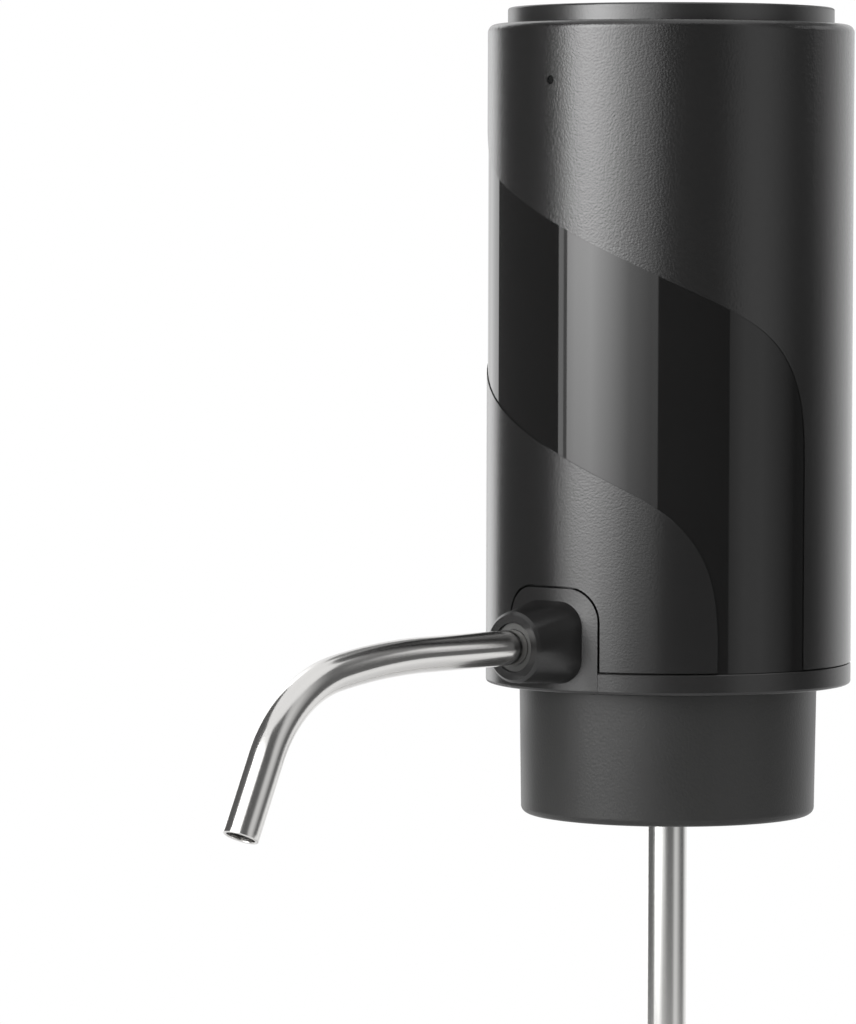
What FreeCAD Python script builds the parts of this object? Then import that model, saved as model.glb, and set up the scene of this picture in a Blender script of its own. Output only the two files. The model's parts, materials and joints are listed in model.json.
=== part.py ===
"""Electric dispenser that plugs into a container's neck and pumps its liquid out through a spout.

A round battery-driven body stands on the neck. Pressing the disc on top runs a small diaphragm pump,
which blows air into the closed container. The air lifts the liquid through a telescopic dip tube and out
of a bent steel spout, which turns in a boss on the front of the body.

Frame: millimetres, +Z up along the neck's axis, spout towards -Y. The origin is on the axis, in the
plane where the neck's lip meets the silicone stopper.
"""
import FreeCAD, Part
import math
import os

from FreeCAD import Vector

os.makedirs("parts", exist_ok=True)

# Clearances
fit_gap = 0.05          # radial, between pieces that are pushed together
running_gap = 0.05      # radial, between pieces that turn or slide in each other
soft_gap = 0.3          # between a moving piece and a soft or fixed neighbour

# Outer shell: as wide and as tall as what it holds
shell_wall = 1.8
shell_edge = 1.2        # rounding of the shoulder
rim_width = 2.7         # flat rim round the button
lip_thickness = 1.5
seam_height = 8.0       # seam above the plane of the neck's lip
seam_gap = 0.1
seam_chamfer = 0.15

# Polished S-shaped band, sunk into the matt shell
band_depth = 0.15
band_lift = 1.7         # of the band's centre over the middle of the shell
band_outer_degrees = 86.5   # from the front to the upright legs' outer corner
band_inner_degrees = 55.0
band_outer_corner = 2.4     # drop of the corner from the band's centre
band_inner_corner = 29.0
band_bend = 20.0        # radius of the band's bends, laid out flat
band_samples = 17       # points that carry each edge onto the cylinder

# Button
button_room = 9.4       # from the button board to the rim
button_proud = 2.5      # side of the disc above the rim
button_crown = 0.35
button_edge = 0.4
button_wall = 1.8
button_travel = 0.8
button_gap = 0.3        # radial, between the disc and the rim
flange_width = 0.8      # how far the button's flange reaches under the rim
flange_thickness = 1.0
flange_gap = 0.2        # under the rim, at rest

# Base ring, base cover and collar
ring_height = 3.2
ring_edge = 0.5
register_wall = 2.2
register_height = 5.6   # how far the base reaches up inside the shell
register_chamfer = 0.4
floor_thickness = 2.0
spigot_depth = 3.3      # the base cover's round spigot below the ring
spigot_wall = 2.0
collar_top_radius = 22.4
collar_bottom_radius = 22.1
collar_wall = 2.5
collar_depth = 15.0     # below the lip plane
collar_edge = 1.0
collar_lead = 0.6       # chamfer inside the collar's foot

# Stopper and its core
stopper_radius = 9.2
stopper_length = 12.0
stopper_taper = 3.0
stopper_tip_radius = 8.2
stopper_flange_radius = 17.5
groove_depth = 0.5
groove_count = 3
core_radius = 6.8
core_barb = 1.2         # height and overhang of the core's end
core_flange_radius = 9.6
core_flange = 1.5

# Spout housing
spout_height = 3.85     # axis above the seam
plate_width = 16.8
plate_height = 12.2     # above the seam
plate_corner = 4.8
plate_gap = 0.35
plate_lap = 1.6         # hidden flange behind the shell
boss_width = 12.0
boss_height = 12.4
boss_corner = 3.8
boss_length = 8.0
boss_face_radius = 5.25
boss_lift = 0.45        # root of the boss above the spout's axis
boss_edge = 0.45
side_span = 40          # degrees of the round face that each flat side runs into
spigot_radius = 5.0     # inner end of the housing
spigot_reach = 6.6

# Spout tube
spout_radius = 2.6
spout_wall = 0.5
spout_inside = 13.5     # how much of the tube is in the housing
spout_run = 18.5        # straight run outside the boss
sag_radius = 110.0
sag_degrees = 10.0
bend_radius = 19.3
bend_degrees = 55.0
spout_end_run = 12.1
bush_wall = 1.0
bush_length = 5.0
bush_recess = 0.5
seal_section = 1.4
seal_squeeze = 0.02     # clearance of a pressed seal on its tube

# Dip tube
dip_radius = 3.0
dip_wall = 0.35
dip_length = 140.0      # fixed tube, below the core's end
dip_inner_radius = 2.0
dip_inner_wall = 0.35
dip_travel = 125.0
dip_bead = 1.2
gland_length = 6.0
gland_wall = 0.8
gland_lip = 2.0
foot_length = 8.0
foot_wall = 1.3
foot_notch = 1.6

# Flow block
block_radius = 7.2
block_lid = 0.8         # over the arm that leads to the spout
arm_radius = 4.4
liquid_bore = 2.2
rise_bore = 1.9         # upright part of the liquid's passage
air_bore = 0.9
air_cross_bore = 0.8
air_offset = 4.9        # air passage from the axis
air_height = 3.0        # air arm above the seam
air_arm_radius = 2.6
nipple_radius = 1.8
nipple_bore = 1.0
nipple_length = 4.0
hose_wall = 1.05

# Pump and motor, which stand beside the axis
pump_radius = 13.2
pump_clearance = 1.3    # to the shell
core_room = 4.4         # between pump and cell, for the frame's web
pump_wall = 1.6
pump_cover_height = 4.0
valve_plate_height = 2.0
diaphragm_thickness = 1.6
cup_radius = 3.8
cup_circle = 6.2
cup_height = 3.2
crankcase_height = 14.4
crank_radius = 5.5
crank_height = 3.2
crank_throw = 1.2
crank_pin_radius = 1.2
crank_pin_length = 2.6
shaft_radius = 1.0
motor_radius = 12.2
motor_length = 31.0
motor_wall = 0.8
end_cap_height = 3.0
terminal_spread = 6.4
terminal_height = 2.6
armature_radius = 8.4
armature_length = 18.0
magnet_thickness = 1.8
magnet_length = 20.0

# Battery cell
cell_radius = 9.1
cell_clearance = 1.1    # to the shell
cell_length = 65.0
tab_thickness = 0.3
tab_width = 5.0
tab_shift = 6.0         # of the lower tab from the cell's middle
tab_front = 4.0         # how far both tabs reach forward of the cell's middle
tab_back = 6.0          # how far the upper tab reaches back
pad_thickness = 0.7

# Inner frame
frame_floor = 12.0      # underside of the frame's floor above the seam
frame_plate = 2.0
frame_clearance = 0.9   # between the frame's edge and the shell
web_thickness = 2.0
web_centre = 4.3
frame_roof_gap = 3.0    # above the cell
post_radius = 3.0
post_inset = 2.45       # of the posts from the pocket's wall
cradle_wall = 1.6
cradle_height = 3.0
pump_stand = 7.0        # height of the pump over the frame's floor
pump_screw_inset = 2.0

# Boards
board_thickness = 1.6
board_width = 26.0
board_height = 48.0
board_inset = 6.5       # outer face of the main board from the shell
board_foot = 2.0        # above the frame's floor
board_hole_radius = 1.2
board_hole_inset = 3.5  # from the board's side
board_hole_drop = 12.0  # from the board's top
controller_width = 6.0
controller_height = 5.0
controller_thickness = 1.2
controller_level = 16.0     # above the board's foot
charger_width = 4.4
charger_height = 4.0
charger_thickness = 1.0
charger_rise = 10.0     # above the controller's foot
coil_radius = 2.8
coil_thickness = 2.4
coil_side = 8.8         # from the board's middle
coil_rise = 4.0
plug_height = 4.0
plug_drop = 2.0         # below the board's top
plug_front = 1.0        # beyond the leads that it holds
motor_plug_side = 8.0
motor_plug_width = 7.2
signal_plug_width = 5.2
battery_plug_side = 7.5
battery_plug_width = 3.8
button_board_inset = 4.7    # edge of the button board from the shell
button_board_thickness = 1.2
switch_size = 6.0
switch_height = 3.5
stem_radius = 1.7
stem_length = 3.5
led_lift = 0.65         # pinhole above the button board
led_hole_radius = 0.65
pipe_radius = 0.6
pipe_head_radius = 1.4
led_size = 1.2

# Button spring
spring_radius = 6.4
spring_wire = 0.7
spring_turns = 4

# Charging inlet at the back
port_height = 20.0      # above the seam
port_width = 9.0
port_thickness = 3.2
port_wall = 0.3
port_hole_gap = 0.4
port_sunk = 0.5         # mouth behind the shell's surface

# Screws and wires
screw_radius = 1.0
screw_head_radius = 1.9
screw_head_height = 1.4
screw_length = 9.0
lead_radius = 0.55
lead_bend = 3.4
lead_end_gap = 0.5      # of a lead's end from the edge of its tab
motor_lead_spread = 3.0
signal_pitch = 1.4
terminal_lap = 1.5      # how far a lead overlaps the motor's terminal
notch_width = 8.0       # of the notch at the back of roof and button board

# Heights and radii that follow from the sizes above
seam = seam_height
shell_bottom = seam + seam_gap / 2
ring_top = seam - seam_gap / 2
ring_bottom = seam - ring_height
inner_radius = cell_radius + pump_radius + (cell_clearance + pump_clearance + core_room) / 2
shell_radius = inner_radius + shell_wall
cell_offset = inner_radius - cell_clearance - cell_radius
pump_offset = pump_radius + pump_clearance - inner_radius
pump_screw_circle = pump_radius - pump_screw_inset
rim_radius = shell_radius - rim_width
button_radius = rim_radius - button_gap
button_board_radius = inner_radius - button_board_inset
board_back = inner_radius - board_inset
register_radius = inner_radius - fit_gap
floor_bottom = seam + frame_floor
floor_top = floor_bottom + frame_plate
cell_bottom = floor_top + pad_thickness + tab_thickness
cell_top = cell_bottom + cell_length
roof_bottom = cell_top + frame_roof_gap
roof_top = roof_bottom + frame_plate
button_board_top = roof_top + button_board_thickness
led_level = button_board_top + led_lift
shell_top = button_board_top + button_room
band_level = (seam + shell_top) / 2 + band_lift
button_top = shell_top + button_proud
flange_radius = rim_radius + flange_width
flange_top = shell_top - lip_thickness - flange_gap
spigot_bottom = ring_bottom - spigot_depth
collar_inner_radius = collar_top_radius - collar_wall
cover_spigot_radius = collar_inner_radius - fit_gap
pocket_radius = cover_spigot_radius - spigot_wall
pocket_floor = spigot_bottom + floor_thickness
post_circle = pocket_radius - post_inset
core_bore = dip_radius + fit_gap
core_top = pocket_floor + core_flange
core_bottom = -stopper_length - stopper_taper - core_barb
spout_level = seam + spout_height
boss_face = -(shell_radius + boss_length)
housing_back = -(inner_radius - spigot_reach)
tube_start = boss_face + spout_inside
plate_top = seam + plate_height
frame_radius = inner_radius - frame_clearance
pump_bottom = floor_top + pump_stand
plate_level = pump_bottom + pump_cover_height
diaphragm_level = plate_level + valve_plate_height
crankcase_bottom = diaphragm_level + diaphragm_thickness
motor_bottom = crankcase_bottom + crankcase_height
motor_top = motor_bottom + motor_length
end_cap_top = motor_top + end_cap_height
cup_top = crankcase_bottom + cup_height
board_front = board_back - board_thickness
board_bottom = floor_top + board_foot
board_top = board_bottom + board_height
air_level = seam + air_height
hose_radius = nipple_radius + fit_gap + hose_wall
dip_bottom = core_bottom - dip_length
post_turns = (90, 210, 330)
Z = Vector(0, 0, 1)
FRONT = Vector(0, -1, 0)


# Helpers: each returns one closed solid


def turned(outline, x=0.0, y=0.0):
    """Solid turned about an upright axis from a closed outline of (radius, height) points.

    A point with a third value rounds that corner with an arc of that radius.
    """
    wire = rounded_outline([(r, 0.0, z, *more) for r, z, *more in outline])
    solid = Part.Face(wire).revolve(Vector(0, 0, 0), Z, 360)
    solid.translate(Vector(x, y, 0))
    return solid


def rounded_outline(corners):
    """Closed wire of straight edges, with a tangent arc at each corner that has a radius."""
    points = [Vector(*corner[:3]) for corner in corners]
    edges = []
    ends = []
    count = len(points)
    for i, corner in enumerate(corners):
        here = points[i]
        radius = corner[3] if len(corner) > 3 else 0.0
        if radius == 0.0:
            ends.append((here, here))
            continue
        to_last = (points[i - 1] - here).normalize()
        to_next = (points[(i + 1) % count] - here).normalize()
        half = to_last.getAngle(to_next) / 2
        first = here + to_last * (radius / math.tan(half))
        last = here + to_next * (radius / math.tan(half))
        inwards = (to_last + to_next).normalize()
        middle = here + inwards * (radius / math.sin(half) - radius)
        ends.append((first, last))
        edges.append((i, Part.Arc(first, middle, last).toShape()))
    arcs = dict(edges)
    outline = []
    for i in range(count):
        start, end = ends[i][1], ends[(i + 1) % count][0]
        if i in arcs:
            outline.append(arcs[i])
        if (end - start).Length > 1e-6:
            outline.append(Part.LineSegment(start, end).toShape())
    return Part.Wire(outline)


def rod(radius, bottom, top, x=0.0, y=0.0):
    return Part.makeCylinder(radius, top - bottom, Vector(x, y, bottom), Z)


def pipe(outer, inner, bottom, top, x=0.0, y=0.0):
    return rod(outer, bottom, top, x, y).cut(rod(inner, bottom - 1, top + 1, x, y))


def front_rod(radius, near, far, height, x=0.0):
    """Rod along the spout's direction, between two values of Y."""
    return Part.makeCylinder(radius, near - far, Vector(x, near, height), FRONT)


def block(x0, x1, y0, y1, z0, z1):
    return Part.makeBox(x1 - x0, y1 - y0, z1 - z0, Vector(x0, y0, z0))


def rounded_block(x0, x1, y0, y1, z0, z1, radius):
    """Block whose upright edges are rounded."""
    outline = [(x0, y0, z0, radius), (x1, y0, z0, radius), (x1, y1, z0, radius), (x0, y1, z0, radius)]
    return Part.Face(rounded_outline(outline)).extrude(Vector(0, 0, z1 - z0))


def on_circle(radius, degrees):
    turn = math.radians(degrees)
    return radius * math.cos(turn), radius * math.sin(turn)


def arch(half_width, bottom, top, corner, near, far):
    """Upright slab facing the front, with two rounded top corners, between two values of Y."""
    outline = [
        (-half_width, near, bottom),
        (half_width, near, bottom),
        (half_width, near, top, corner),
        (-half_width, near, top, corner),
    ]
    return Part.Face(rounded_outline(outline)).extrude(Vector(0, far - near, 0))


def route(points, radius):
    """Straight runs joined by tangent arcs of one radius."""
    corners = [Vector(*point) for point in points]
    edges = []
    start = corners[0]
    for before, here, after in zip(corners, corners[1:], corners[2:]):
        back = (before - here).normalize()
        onward = (after - here).normalize()
        half = back.getAngle(onward) / 2
        first = here + back * (radius / math.tan(half))
        last = here + onward * (radius / math.tan(half))
        middle = here + (back + onward).normalize() * (radius / math.sin(half) - radius)
        edges.append(Part.LineSegment(start, first).toShape())
        edges.append(Part.Arc(first, middle, last).toShape())
        start = last
    edges.append(Part.LineSegment(start, corners[-1]).toShape())
    return Part.Wire(edges)


def swept(path, radius):
    """Round bar along a smooth path."""
    first = path.Edges[0]
    start = first.valueAt(first.FirstParameter)
    heading = first.tangentAt(first.FirstParameter)
    section = Part.Wire(Part.Circle(start, heading, radius).toShape())
    bar = path.makePipeShell([section], True, False)
    return bar if bar.Volume > 0 else bar.reversed()


def screw(length, x, y, seat, up=1, head_radius=screw_head_radius):
    """Pan-head screw with a cross recess. Its head bears on the height seat and its shank runs on."""
    head = Part.makeCylinder(head_radius, screw_head_height, Vector(x, y, seat), Z * -up)
    shank = Part.makeCylinder(screw_radius, length, Vector(x, y, seat), Z * up)
    slot_depth = screw_head_height / 2
    outer = seat - up * screw_head_height
    low, high = sorted((outer, outer + up * slot_depth))
    body = head.fuse(shank)
    slot_half = head_radius * 0.6
    slot_wide = head_radius * 0.15
    body = body.cut(block(x - slot_half, x + slot_half, y - slot_wide, y + slot_wide, low, high))
    body = body.cut(block(x - slot_wide, x + slot_wide, y - slot_half, y + slot_half, low, high))
    return body.removeSplitter()


# Outer shell with its polished band


def band_edge(left, right, radius):
    """One edge of the band on a cylinder: down a leg, across the front, and down the other leg.

    The edge is laid out flat, with the distance round the shell across and the height up. Each corner is
    given by its degrees from the front and its height over the band's centre, and is rounded by an arc.
    """
    across = [math.radians(degrees) * shell_radius for degrees, _ in (left, right)]
    heights = [band_level + height for _, height in (left, right)]
    wire = route([
        (across[0], 0, shell_top + 1),
        (across[0], 0, heights[0]),
        (across[1], 0, heights[1]),
        (across[1], 0, seam - 1),
    ], band_bend)
    samples = wire.discretize(Number=band_samples)
    curve = Part.BSplineCurve()
    curve.interpolate([around(p.x / shell_radius, p.z, radius) for p in samples])
    return curve.toShape()


def around(turn, height, radius):
    """Point on a cylinder, with the turn in radians from the front towards +X."""
    return Vector(radius * math.sin(turn), -radius * math.cos(turn), height)


def band_cutter():
    """The ring of shell that the polished band leaves out, bounded by two curved walls.

    The lower edge is the upper one turned half round about the band's centre.
    """
    bed = shell_radius - band_depth
    beyond = shell_radius + band_depth
    ring = pipe(beyond, bed, seam - 0.5, shell_top + 0.5)
    inner_corner = (band_inner_degrees, -band_inner_corner)
    outer_corner = (band_outer_degrees, -band_outer_corner)
    opposite = [(-degrees, -height) for degrees, height in (inner_corner, outer_corner)]
    walls = []
    for left, right in ((opposite[0], outer_corner), (opposite[1], inner_corner)):
        inner = Part.Wire(band_edge(left, right, bed - 1))
        outer = Part.Wire(band_edge(left, right, beyond + 1))
        walls += Part.makeLoft([inner, outer], False, True).Faces
    pieces, _ = ring.generalFuse(walls)
    middle = around(0.0, band_level, shell_radius)
    return [piece for piece in pieces.Solids if piece.isInside(middle, 1e-3, True)][0]


def spout_window(gap):
    """Slab that cuts the opening for the spout housing, larger than its plate by the gap."""
    half = plate_width / 2 + gap
    return arch(half, ring_bottom - 1, plate_top + gap, plate_corner + gap, -shell_radius - 1, -20)


def port_slot(gap, inner, outer):
    """Flat slot along +Y with round ends, larger than the inlet by the gap."""
    half_high = port_thickness / 2 + gap
    half_wide = port_width / 2 + gap
    level = seam + port_height
    outline = [
        (-half_wide, inner, level - half_high, half_high * 0.98),
        (half_wide, inner, level - half_high, half_high * 0.98),
        (half_wide, inner, level + half_high, half_high * 0.98),
        (-half_wide, inner, level + half_high, half_high * 0.98),
    ]
    return Part.Face(rounded_outline(outline)).extrude(Vector(0, outer - inner, 0))


def outer_shell():
    lip_bottom = shell_top - lip_thickness
    body = turned([
        (inner_radius, shell_bottom),
        (shell_radius - seam_chamfer, shell_bottom),
        (shell_radius, shell_bottom + seam_chamfer),
        (shell_radius, shell_top, shell_edge),
        (rim_radius, shell_top, 0.25),
        (rim_radius, lip_bottom),
        (inner_radius, lip_bottom),
    ])
    body = body.cut(band_cutter())
    body = body.cut(spout_window(plate_gap))
    body = body.cut(front_rod(led_hole_radius, -inner_radius + 1, -shell_radius - 1, led_level))
    body = body.cut(port_slot(port_hole_gap, inner_radius - 2, shell_radius + 1))
    return body


# Top button and what returns it


def top_button():
    """Disc with a slightly domed top, a skirt, a flange under the rim, a spring cup and a plunger."""
    skirt_inner = button_radius - button_wall
    flange_bottom = flange_top - flange_thickness
    ceiling = button_top - button_wall
    flat = button_radius - button_edge
    dome_radius = (flat ** 2 + button_crown ** 2) / (2 * button_crown)
    sink = dome_radius - math.sqrt(dome_radius ** 2 - (flat / 2) ** 2)
    dome = Part.Arc(
        Vector(0, 0, button_top + button_crown),
        Vector(flat / 2, 0, button_top + button_crown - sink),
        Vector(flat, 0, button_top),
    ).toShape()
    corner = Part.Arc(
        Vector(button_radius - button_edge, 0, button_top),
        Vector(button_radius - button_edge * (1 - math.sin(math.pi / 4)), 0,
               button_top - button_edge * (1 - math.cos(math.pi / 4))),
        Vector(button_radius, 0, button_top - button_edge),
    ).toShape()
    outline = [
        (button_radius, button_top - button_edge),
        (button_radius, flange_top),
        (flange_radius, flange_top),
        (flange_radius, flange_bottom),
        (skirt_inner, flange_bottom),
        (skirt_inner, ceiling),
        (0, ceiling),
        (0, button_top + button_crown),
    ]
    points = [Vector(r, 0, z) for r, z in outline]
    sides = [Part.LineSegment(a, b).toShape() for a, b in zip(points, points[1:])]
    cap = Part.Face(Part.Wire([dome, corner] + sides)).revolve(Vector(0, 0, 0), Z, 360)
    stem_top = button_board_top + switch_height + stem_length / 2
    plunger = rod(stem_radius + 0.5, stem_top, ceiling + 0.1)
    cup_inner = spring_radius + spring_wire / 2 + soft_gap
    cup = pipe(cup_inner + 1.0, cup_inner, ceiling - 2.0, ceiling + 0.1)
    ribs = []
    for degrees in (30, 150, 270):
        rib = block(cup_inner + 0.6, skirt_inner + 0.1, -0.6, 0.6, ceiling - 1.6, ceiling + 0.1)
        rib.rotate(Vector(0, 0, 0), Z, degrees)
        ribs.append(rib)
    return cap.fuse([plunger, cup] + ribs).removeSplitter()


def spring_path():
    """Centre line of the spring: half-turn biarcs that rise steadily."""
    bottom = button_board_top + spring_wire / 2
    top = button_top - button_wall - spring_wire / 2
    halves = spring_turns * 2
    rise = (top - bottom) / halves
    points = []
    for i in range(halves + 1):
        x, y = on_circle(spring_radius, 180 * i)
        points.append(Vector(x, y, bottom + rise * i))
    edges = []
    for i in range(halves):
        edges += half_turn_biarc(points[i], points[i + 1], 180 * i, rise)
    return Part.Wire(edges), rise * 2


def half_turn_biarc(start, end, degrees, rise):
    """Two arcs that join two points of a helix half a turn apart, tangent to it at both ends."""
    slope = rise / math.pi
    ahead = []
    for turn in (degrees, degrees + 180):
        x, y = on_circle(1.0, turn + 90)
        ahead.append(Vector(x * spring_radius, y * spring_radius, slope).normalize())
    chord = end - start
    along = ahead[0] + ahead[1]
    a = 2 - 2 * ahead[0].dot(ahead[1])
    b = 2 * chord.dot(along)
    c = -chord.dot(chord)
    reach = (-b + math.sqrt(b * b - 4 * a * c)) / (2 * a)
    first_corner = start + ahead[0] * reach
    last_corner = end - ahead[1] * reach
    joint = (first_corner + last_corner) / 2
    return [arc_by_corner(start, first_corner, joint), arc_by_corner(joint, last_corner, end)]


def arc_by_corner(start, corner, end):
    """Arc from start to end whose tangents there meet at the corner."""
    back = (start - corner).normalize()
    onward = (end - corner).normalize()
    half = back.getAngle(onward) / 2
    radius = (start - corner).Length * math.tan(half)
    middle = corner + (back + onward).normalize() * (radius / math.sin(half) - radius)
    return Part.Arc(start, middle, end).toShape()


def return_spring():
    path, pitch = spring_path()
    solid = swept(path, spring_wire / 2)
    samples = path.discretize(Distance=0.5)
    turn = 2 * math.pi * spring_radius
    apart = [
        (a - b).Length
        for i, a in enumerate(samples)
        for b in samples[i + int(turn / 2 / 0.5):]
    ]
    print(f"return_spring: pitch {pitch:.2f}, least gap to itself {min(apart) - spring_wire:.2f}")
    return solid


def tact_switch():
    half = switch_size / 2
    body = rounded_block(-half, half, -half, half, button_board_top, button_board_top + switch_height, 0.4)
    top = button_board_top + switch_height
    well_floor = top - stem_length / 2 - button_travel - soft_gap
    well = rod(stem_radius + running_gap, well_floor, top + 1)
    return body.cut(well)


def switch_stem():
    top = button_board_top + switch_height + stem_length / 2
    return rod(stem_radius, top - stem_length, top)


def lead_notch(reach, low, high):
    """Cutter for the notch at the back that the leads run down through."""
    return block(-notch_width / 2, notch_width / 2, lead_line() - 1.5, reach, low, high)


def button_board():
    """Round board on the frame's roof, notched at the back for the leads."""
    board = rod(button_board_radius, roof_top, button_board_top)
    board = board.cut(lead_notch(button_board_radius + 1, roof_top - 1, button_board_top + 1))
    for degrees in (45, 225):
        x, y = on_circle(button_board_radius - 4, degrees)
        board = board.cut(rod(screw_radius + 0.2, roof_top - 1, button_board_top + 1, x, y))
    return board


def status_led():
    level = led_level
    back = -button_board_radius + 0.4
    lamp = block(-1.5, 1.5, back - 1.0, back + 0.6, button_board_top, level + led_size / 2)
    lens = front_rod(led_size / 2 - 0.1, back - 0.9, back - 1.6, level)
    return lamp.fuse(lens).removeSplitter()


def light_pipe():
    """Clear rod in the pinhole, with a head behind the wall."""
    level = led_level
    front = -shell_radius + 0.25
    stem = front_rod(pipe_radius, -inner_radius + 1.5, front, level)
    head = front_rod(pipe_head_radius, -button_board_radius - 1.5, -inner_radius + 0.55, level)
    return stem.fuse(head).removeSplitter()


# Base cover, collar and stopper


def base_cover():
    """Visible ring, deck, register inside the shell, and the round spigot that carries the collar."""
    register_top = shell_bottom + register_height
    seal_level = shell_bottom + register_height / 2
    groove = seal_section * 0.8
    body = turned([
        (core_radius + fit_gap, spigot_bottom),
        (cover_spigot_radius, spigot_bottom),
        (cover_spigot_radius, ring_bottom),
        (shell_radius, ring_bottom, ring_edge),
        (shell_radius, ring_top - seam_chamfer),
        (shell_radius - seam_chamfer, ring_top),
        (register_radius, ring_top),
        (register_radius, seal_level - groove / 2 - 0.1),
        (register_radius - groove, seal_level - groove / 2 - 0.1),
        (register_radius - groove, seal_level + groove / 2 + 0.1),
        (register_radius, seal_level + groove / 2 + 0.1),
        (register_radius, register_top - register_chamfer),
        (register_radius - register_chamfer, register_top),
        (register_radius - register_wall, register_top),
        (register_radius - register_wall, ring_top),
        (pocket_radius, ring_top),
        (pocket_radius, pocket_floor),
        (core_radius + fit_gap, pocket_floor),
    ])
    for turn in post_turns:
        x, y = on_circle(post_circle, turn)
        body = body.fuse(rod(post_radius + 0.4, pocket_floor - 0.1, ring_top, x, y))
    for turn in post_turns:
        x, y = on_circle(post_circle, turn)
        body = body.cut(rod(screw_radius + 0.3, spigot_bottom - 1, ring_top + 1, x, y))
        body = body.cut(rod(screw_head_radius + 0.4, spigot_bottom - 1, spigot_bottom + 1.6, x, y))
    body = body.cut(spout_window(fit_gap))
    trough = front_rod(spigot_radius + fit_gap, 1 - pocket_radius, -shell_radius, spout_level)
    return body.cut(trough).removeSplitter()


def base_seal():
    """Flat-sided seal in the register's groove, open at the front where the spout housing sits."""
    level = shell_bottom + register_height / 2
    groove = seal_section * 0.8
    band = pipe(inner_radius - 0.02, register_radius - groove + 0.02, level - groove / 2, level + groove / 2)
    return band.cut(spout_window(fit_gap + 0.5))


def neck_collar():
    """Soft sleeve that drops over the neck, slightly narrower at its foot."""
    foot = -collar_depth
    return turned([
        (collar_inner_radius, ring_bottom),
        (collar_inner_radius, foot + collar_lead),
        (collar_inner_radius + collar_lead, foot),
        (collar_bottom_radius, foot, collar_edge),
        (collar_top_radius, ring_bottom),
    ])


def neck_stopper():
    """Silicone plug with a flange for the neck's lip and shallow grooves round its land."""
    bore = core_radius + fit_gap
    foot = -stopper_length - stopper_taper
    spacing = stopper_length / (groove_count + 1)
    outline = [(bore, spigot_bottom), (bore, foot), (stopper_tip_radius, foot, 0.6)]
    for i in range(groove_count, 0, -1):
        level = -spacing * i
        outline += [
            (stopper_radius, level - groove_depth),
            (stopper_radius - groove_depth, level),
            (stopper_radius, level + groove_depth),
        ]
    outline.insert(3, (stopper_radius, -stopper_length))
    outline += [(stopper_radius, 0), (stopper_flange_radius, 0), (stopper_flange_radius, spigot_bottom)]
    return turned(outline)


def stopper_core():
    """Stiff tube through the stopper, held in the base cover by a flange and under it by a barb."""
    body = turned([
        (core_bore, core_bottom),
        (core_radius - 0.4, core_bottom),
        (core_radius + core_barb, core_bottom + core_barb),
        (core_radius, core_bottom + core_barb),
        (core_radius, pocket_floor),
        (core_flange_radius, pocket_floor),
        (core_flange_radius, core_top),
        (core_bore, core_top),
    ])
    return body.cut(rod(air_bore, core_bottom - 1, core_top + 1, -air_offset))


# Liquid and air passages


def flow_block():
    """Manifold over the core: the liquid turns from the dip tube to the spout, the air goes down."""
    hub_top = spout_level + arm_radius + block_lid
    body = rod(block_radius, core_top, hub_top)
    body = body.fuse(rod(core_flange_radius, core_top, core_top + core_flange))
    body = body.fuse(front_rod(arm_radius, 0, housing_back, spout_level))
    arm_length = air_arm_radius - pump_offset
    air_arm = Part.makeCylinder(air_arm_radius, arm_length, Vector(0, 0, air_level), Vector(-1, 0, 0))
    nipple = rod(nipple_radius, air_level, air_level + air_arm_radius + nipple_length, pump_offset)
    body = body.fuse([air_arm, nipple])
    dip_top = core_top + 4.0
    body = body.cut(rod(core_bore, core_top - 1, dip_top))
    body = body.cut(rod(dip_radius + seal_section + 0.05, core_top + 1.0, core_top + 1.2 + seal_section))
    body = body.cut(rod(rise_bore, dip_top - 0.1, spout_level))
    body = body.cut(front_rod(liquid_bore, liquid_bore + 0.6, housing_back - 1, spout_level))
    air_top = air_level + air_arm_radius + nipple_length + 1
    body = body.cut(rod(nipple_bore, air_level, air_top, pump_offset))
    span = -pump_offset - air_offset
    cross = Part.makeCylinder(air_cross_bore, span, Vector(pump_offset, 0, air_level), Vector(1, 0, 0))
    body = body.cut(cross)
    body = body.cut(rod(air_bore, core_top - 1, air_level, -air_offset))
    return body.removeSplitter()


def dip_tube_seal():
    """Square-cut ring in the flow block's groove."""
    low = core_top + 1.1
    return pipe(dip_radius + seal_section, dip_radius + seal_squeeze, low, low + seal_section)


def air_hose():
    """Two short lengths of hose, one on each side of the check valve."""
    inner = nipple_radius + fit_gap
    lower_bottom = air_level + air_arm_radius + 0.1
    lower = pipe(hose_radius, inner, lower_bottom, valve_bottom() - 0.1, pump_offset)
    upper = pipe(hose_radius, inner, valve_top() + 0.1, pump_bottom - 0.1, pump_offset)
    return Part.makeCompound([lower, upper])


def valve_bottom():
    return floor_bottom - 0.4


def valve_top():
    return floor_top + 0.6


def check_valve():
    """Inline valve body with a nipple at each end, which keeps liquid out of the pump."""
    low, high = valve_bottom(), valve_top()
    reach = 1.8
    body = turned([
        (nipple_bore, low - reach),
        (nipple_radius, low - reach),
        (nipple_radius, low),
        (hose_radius + 0.3, low),
        (hose_radius + 0.3, high),
        (nipple_radius, high),
        (nipple_radius, high + reach),
        (nipple_bore, high + reach),
    ], pump_offset)
    return body


# Spout housing, spout and its seals


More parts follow.
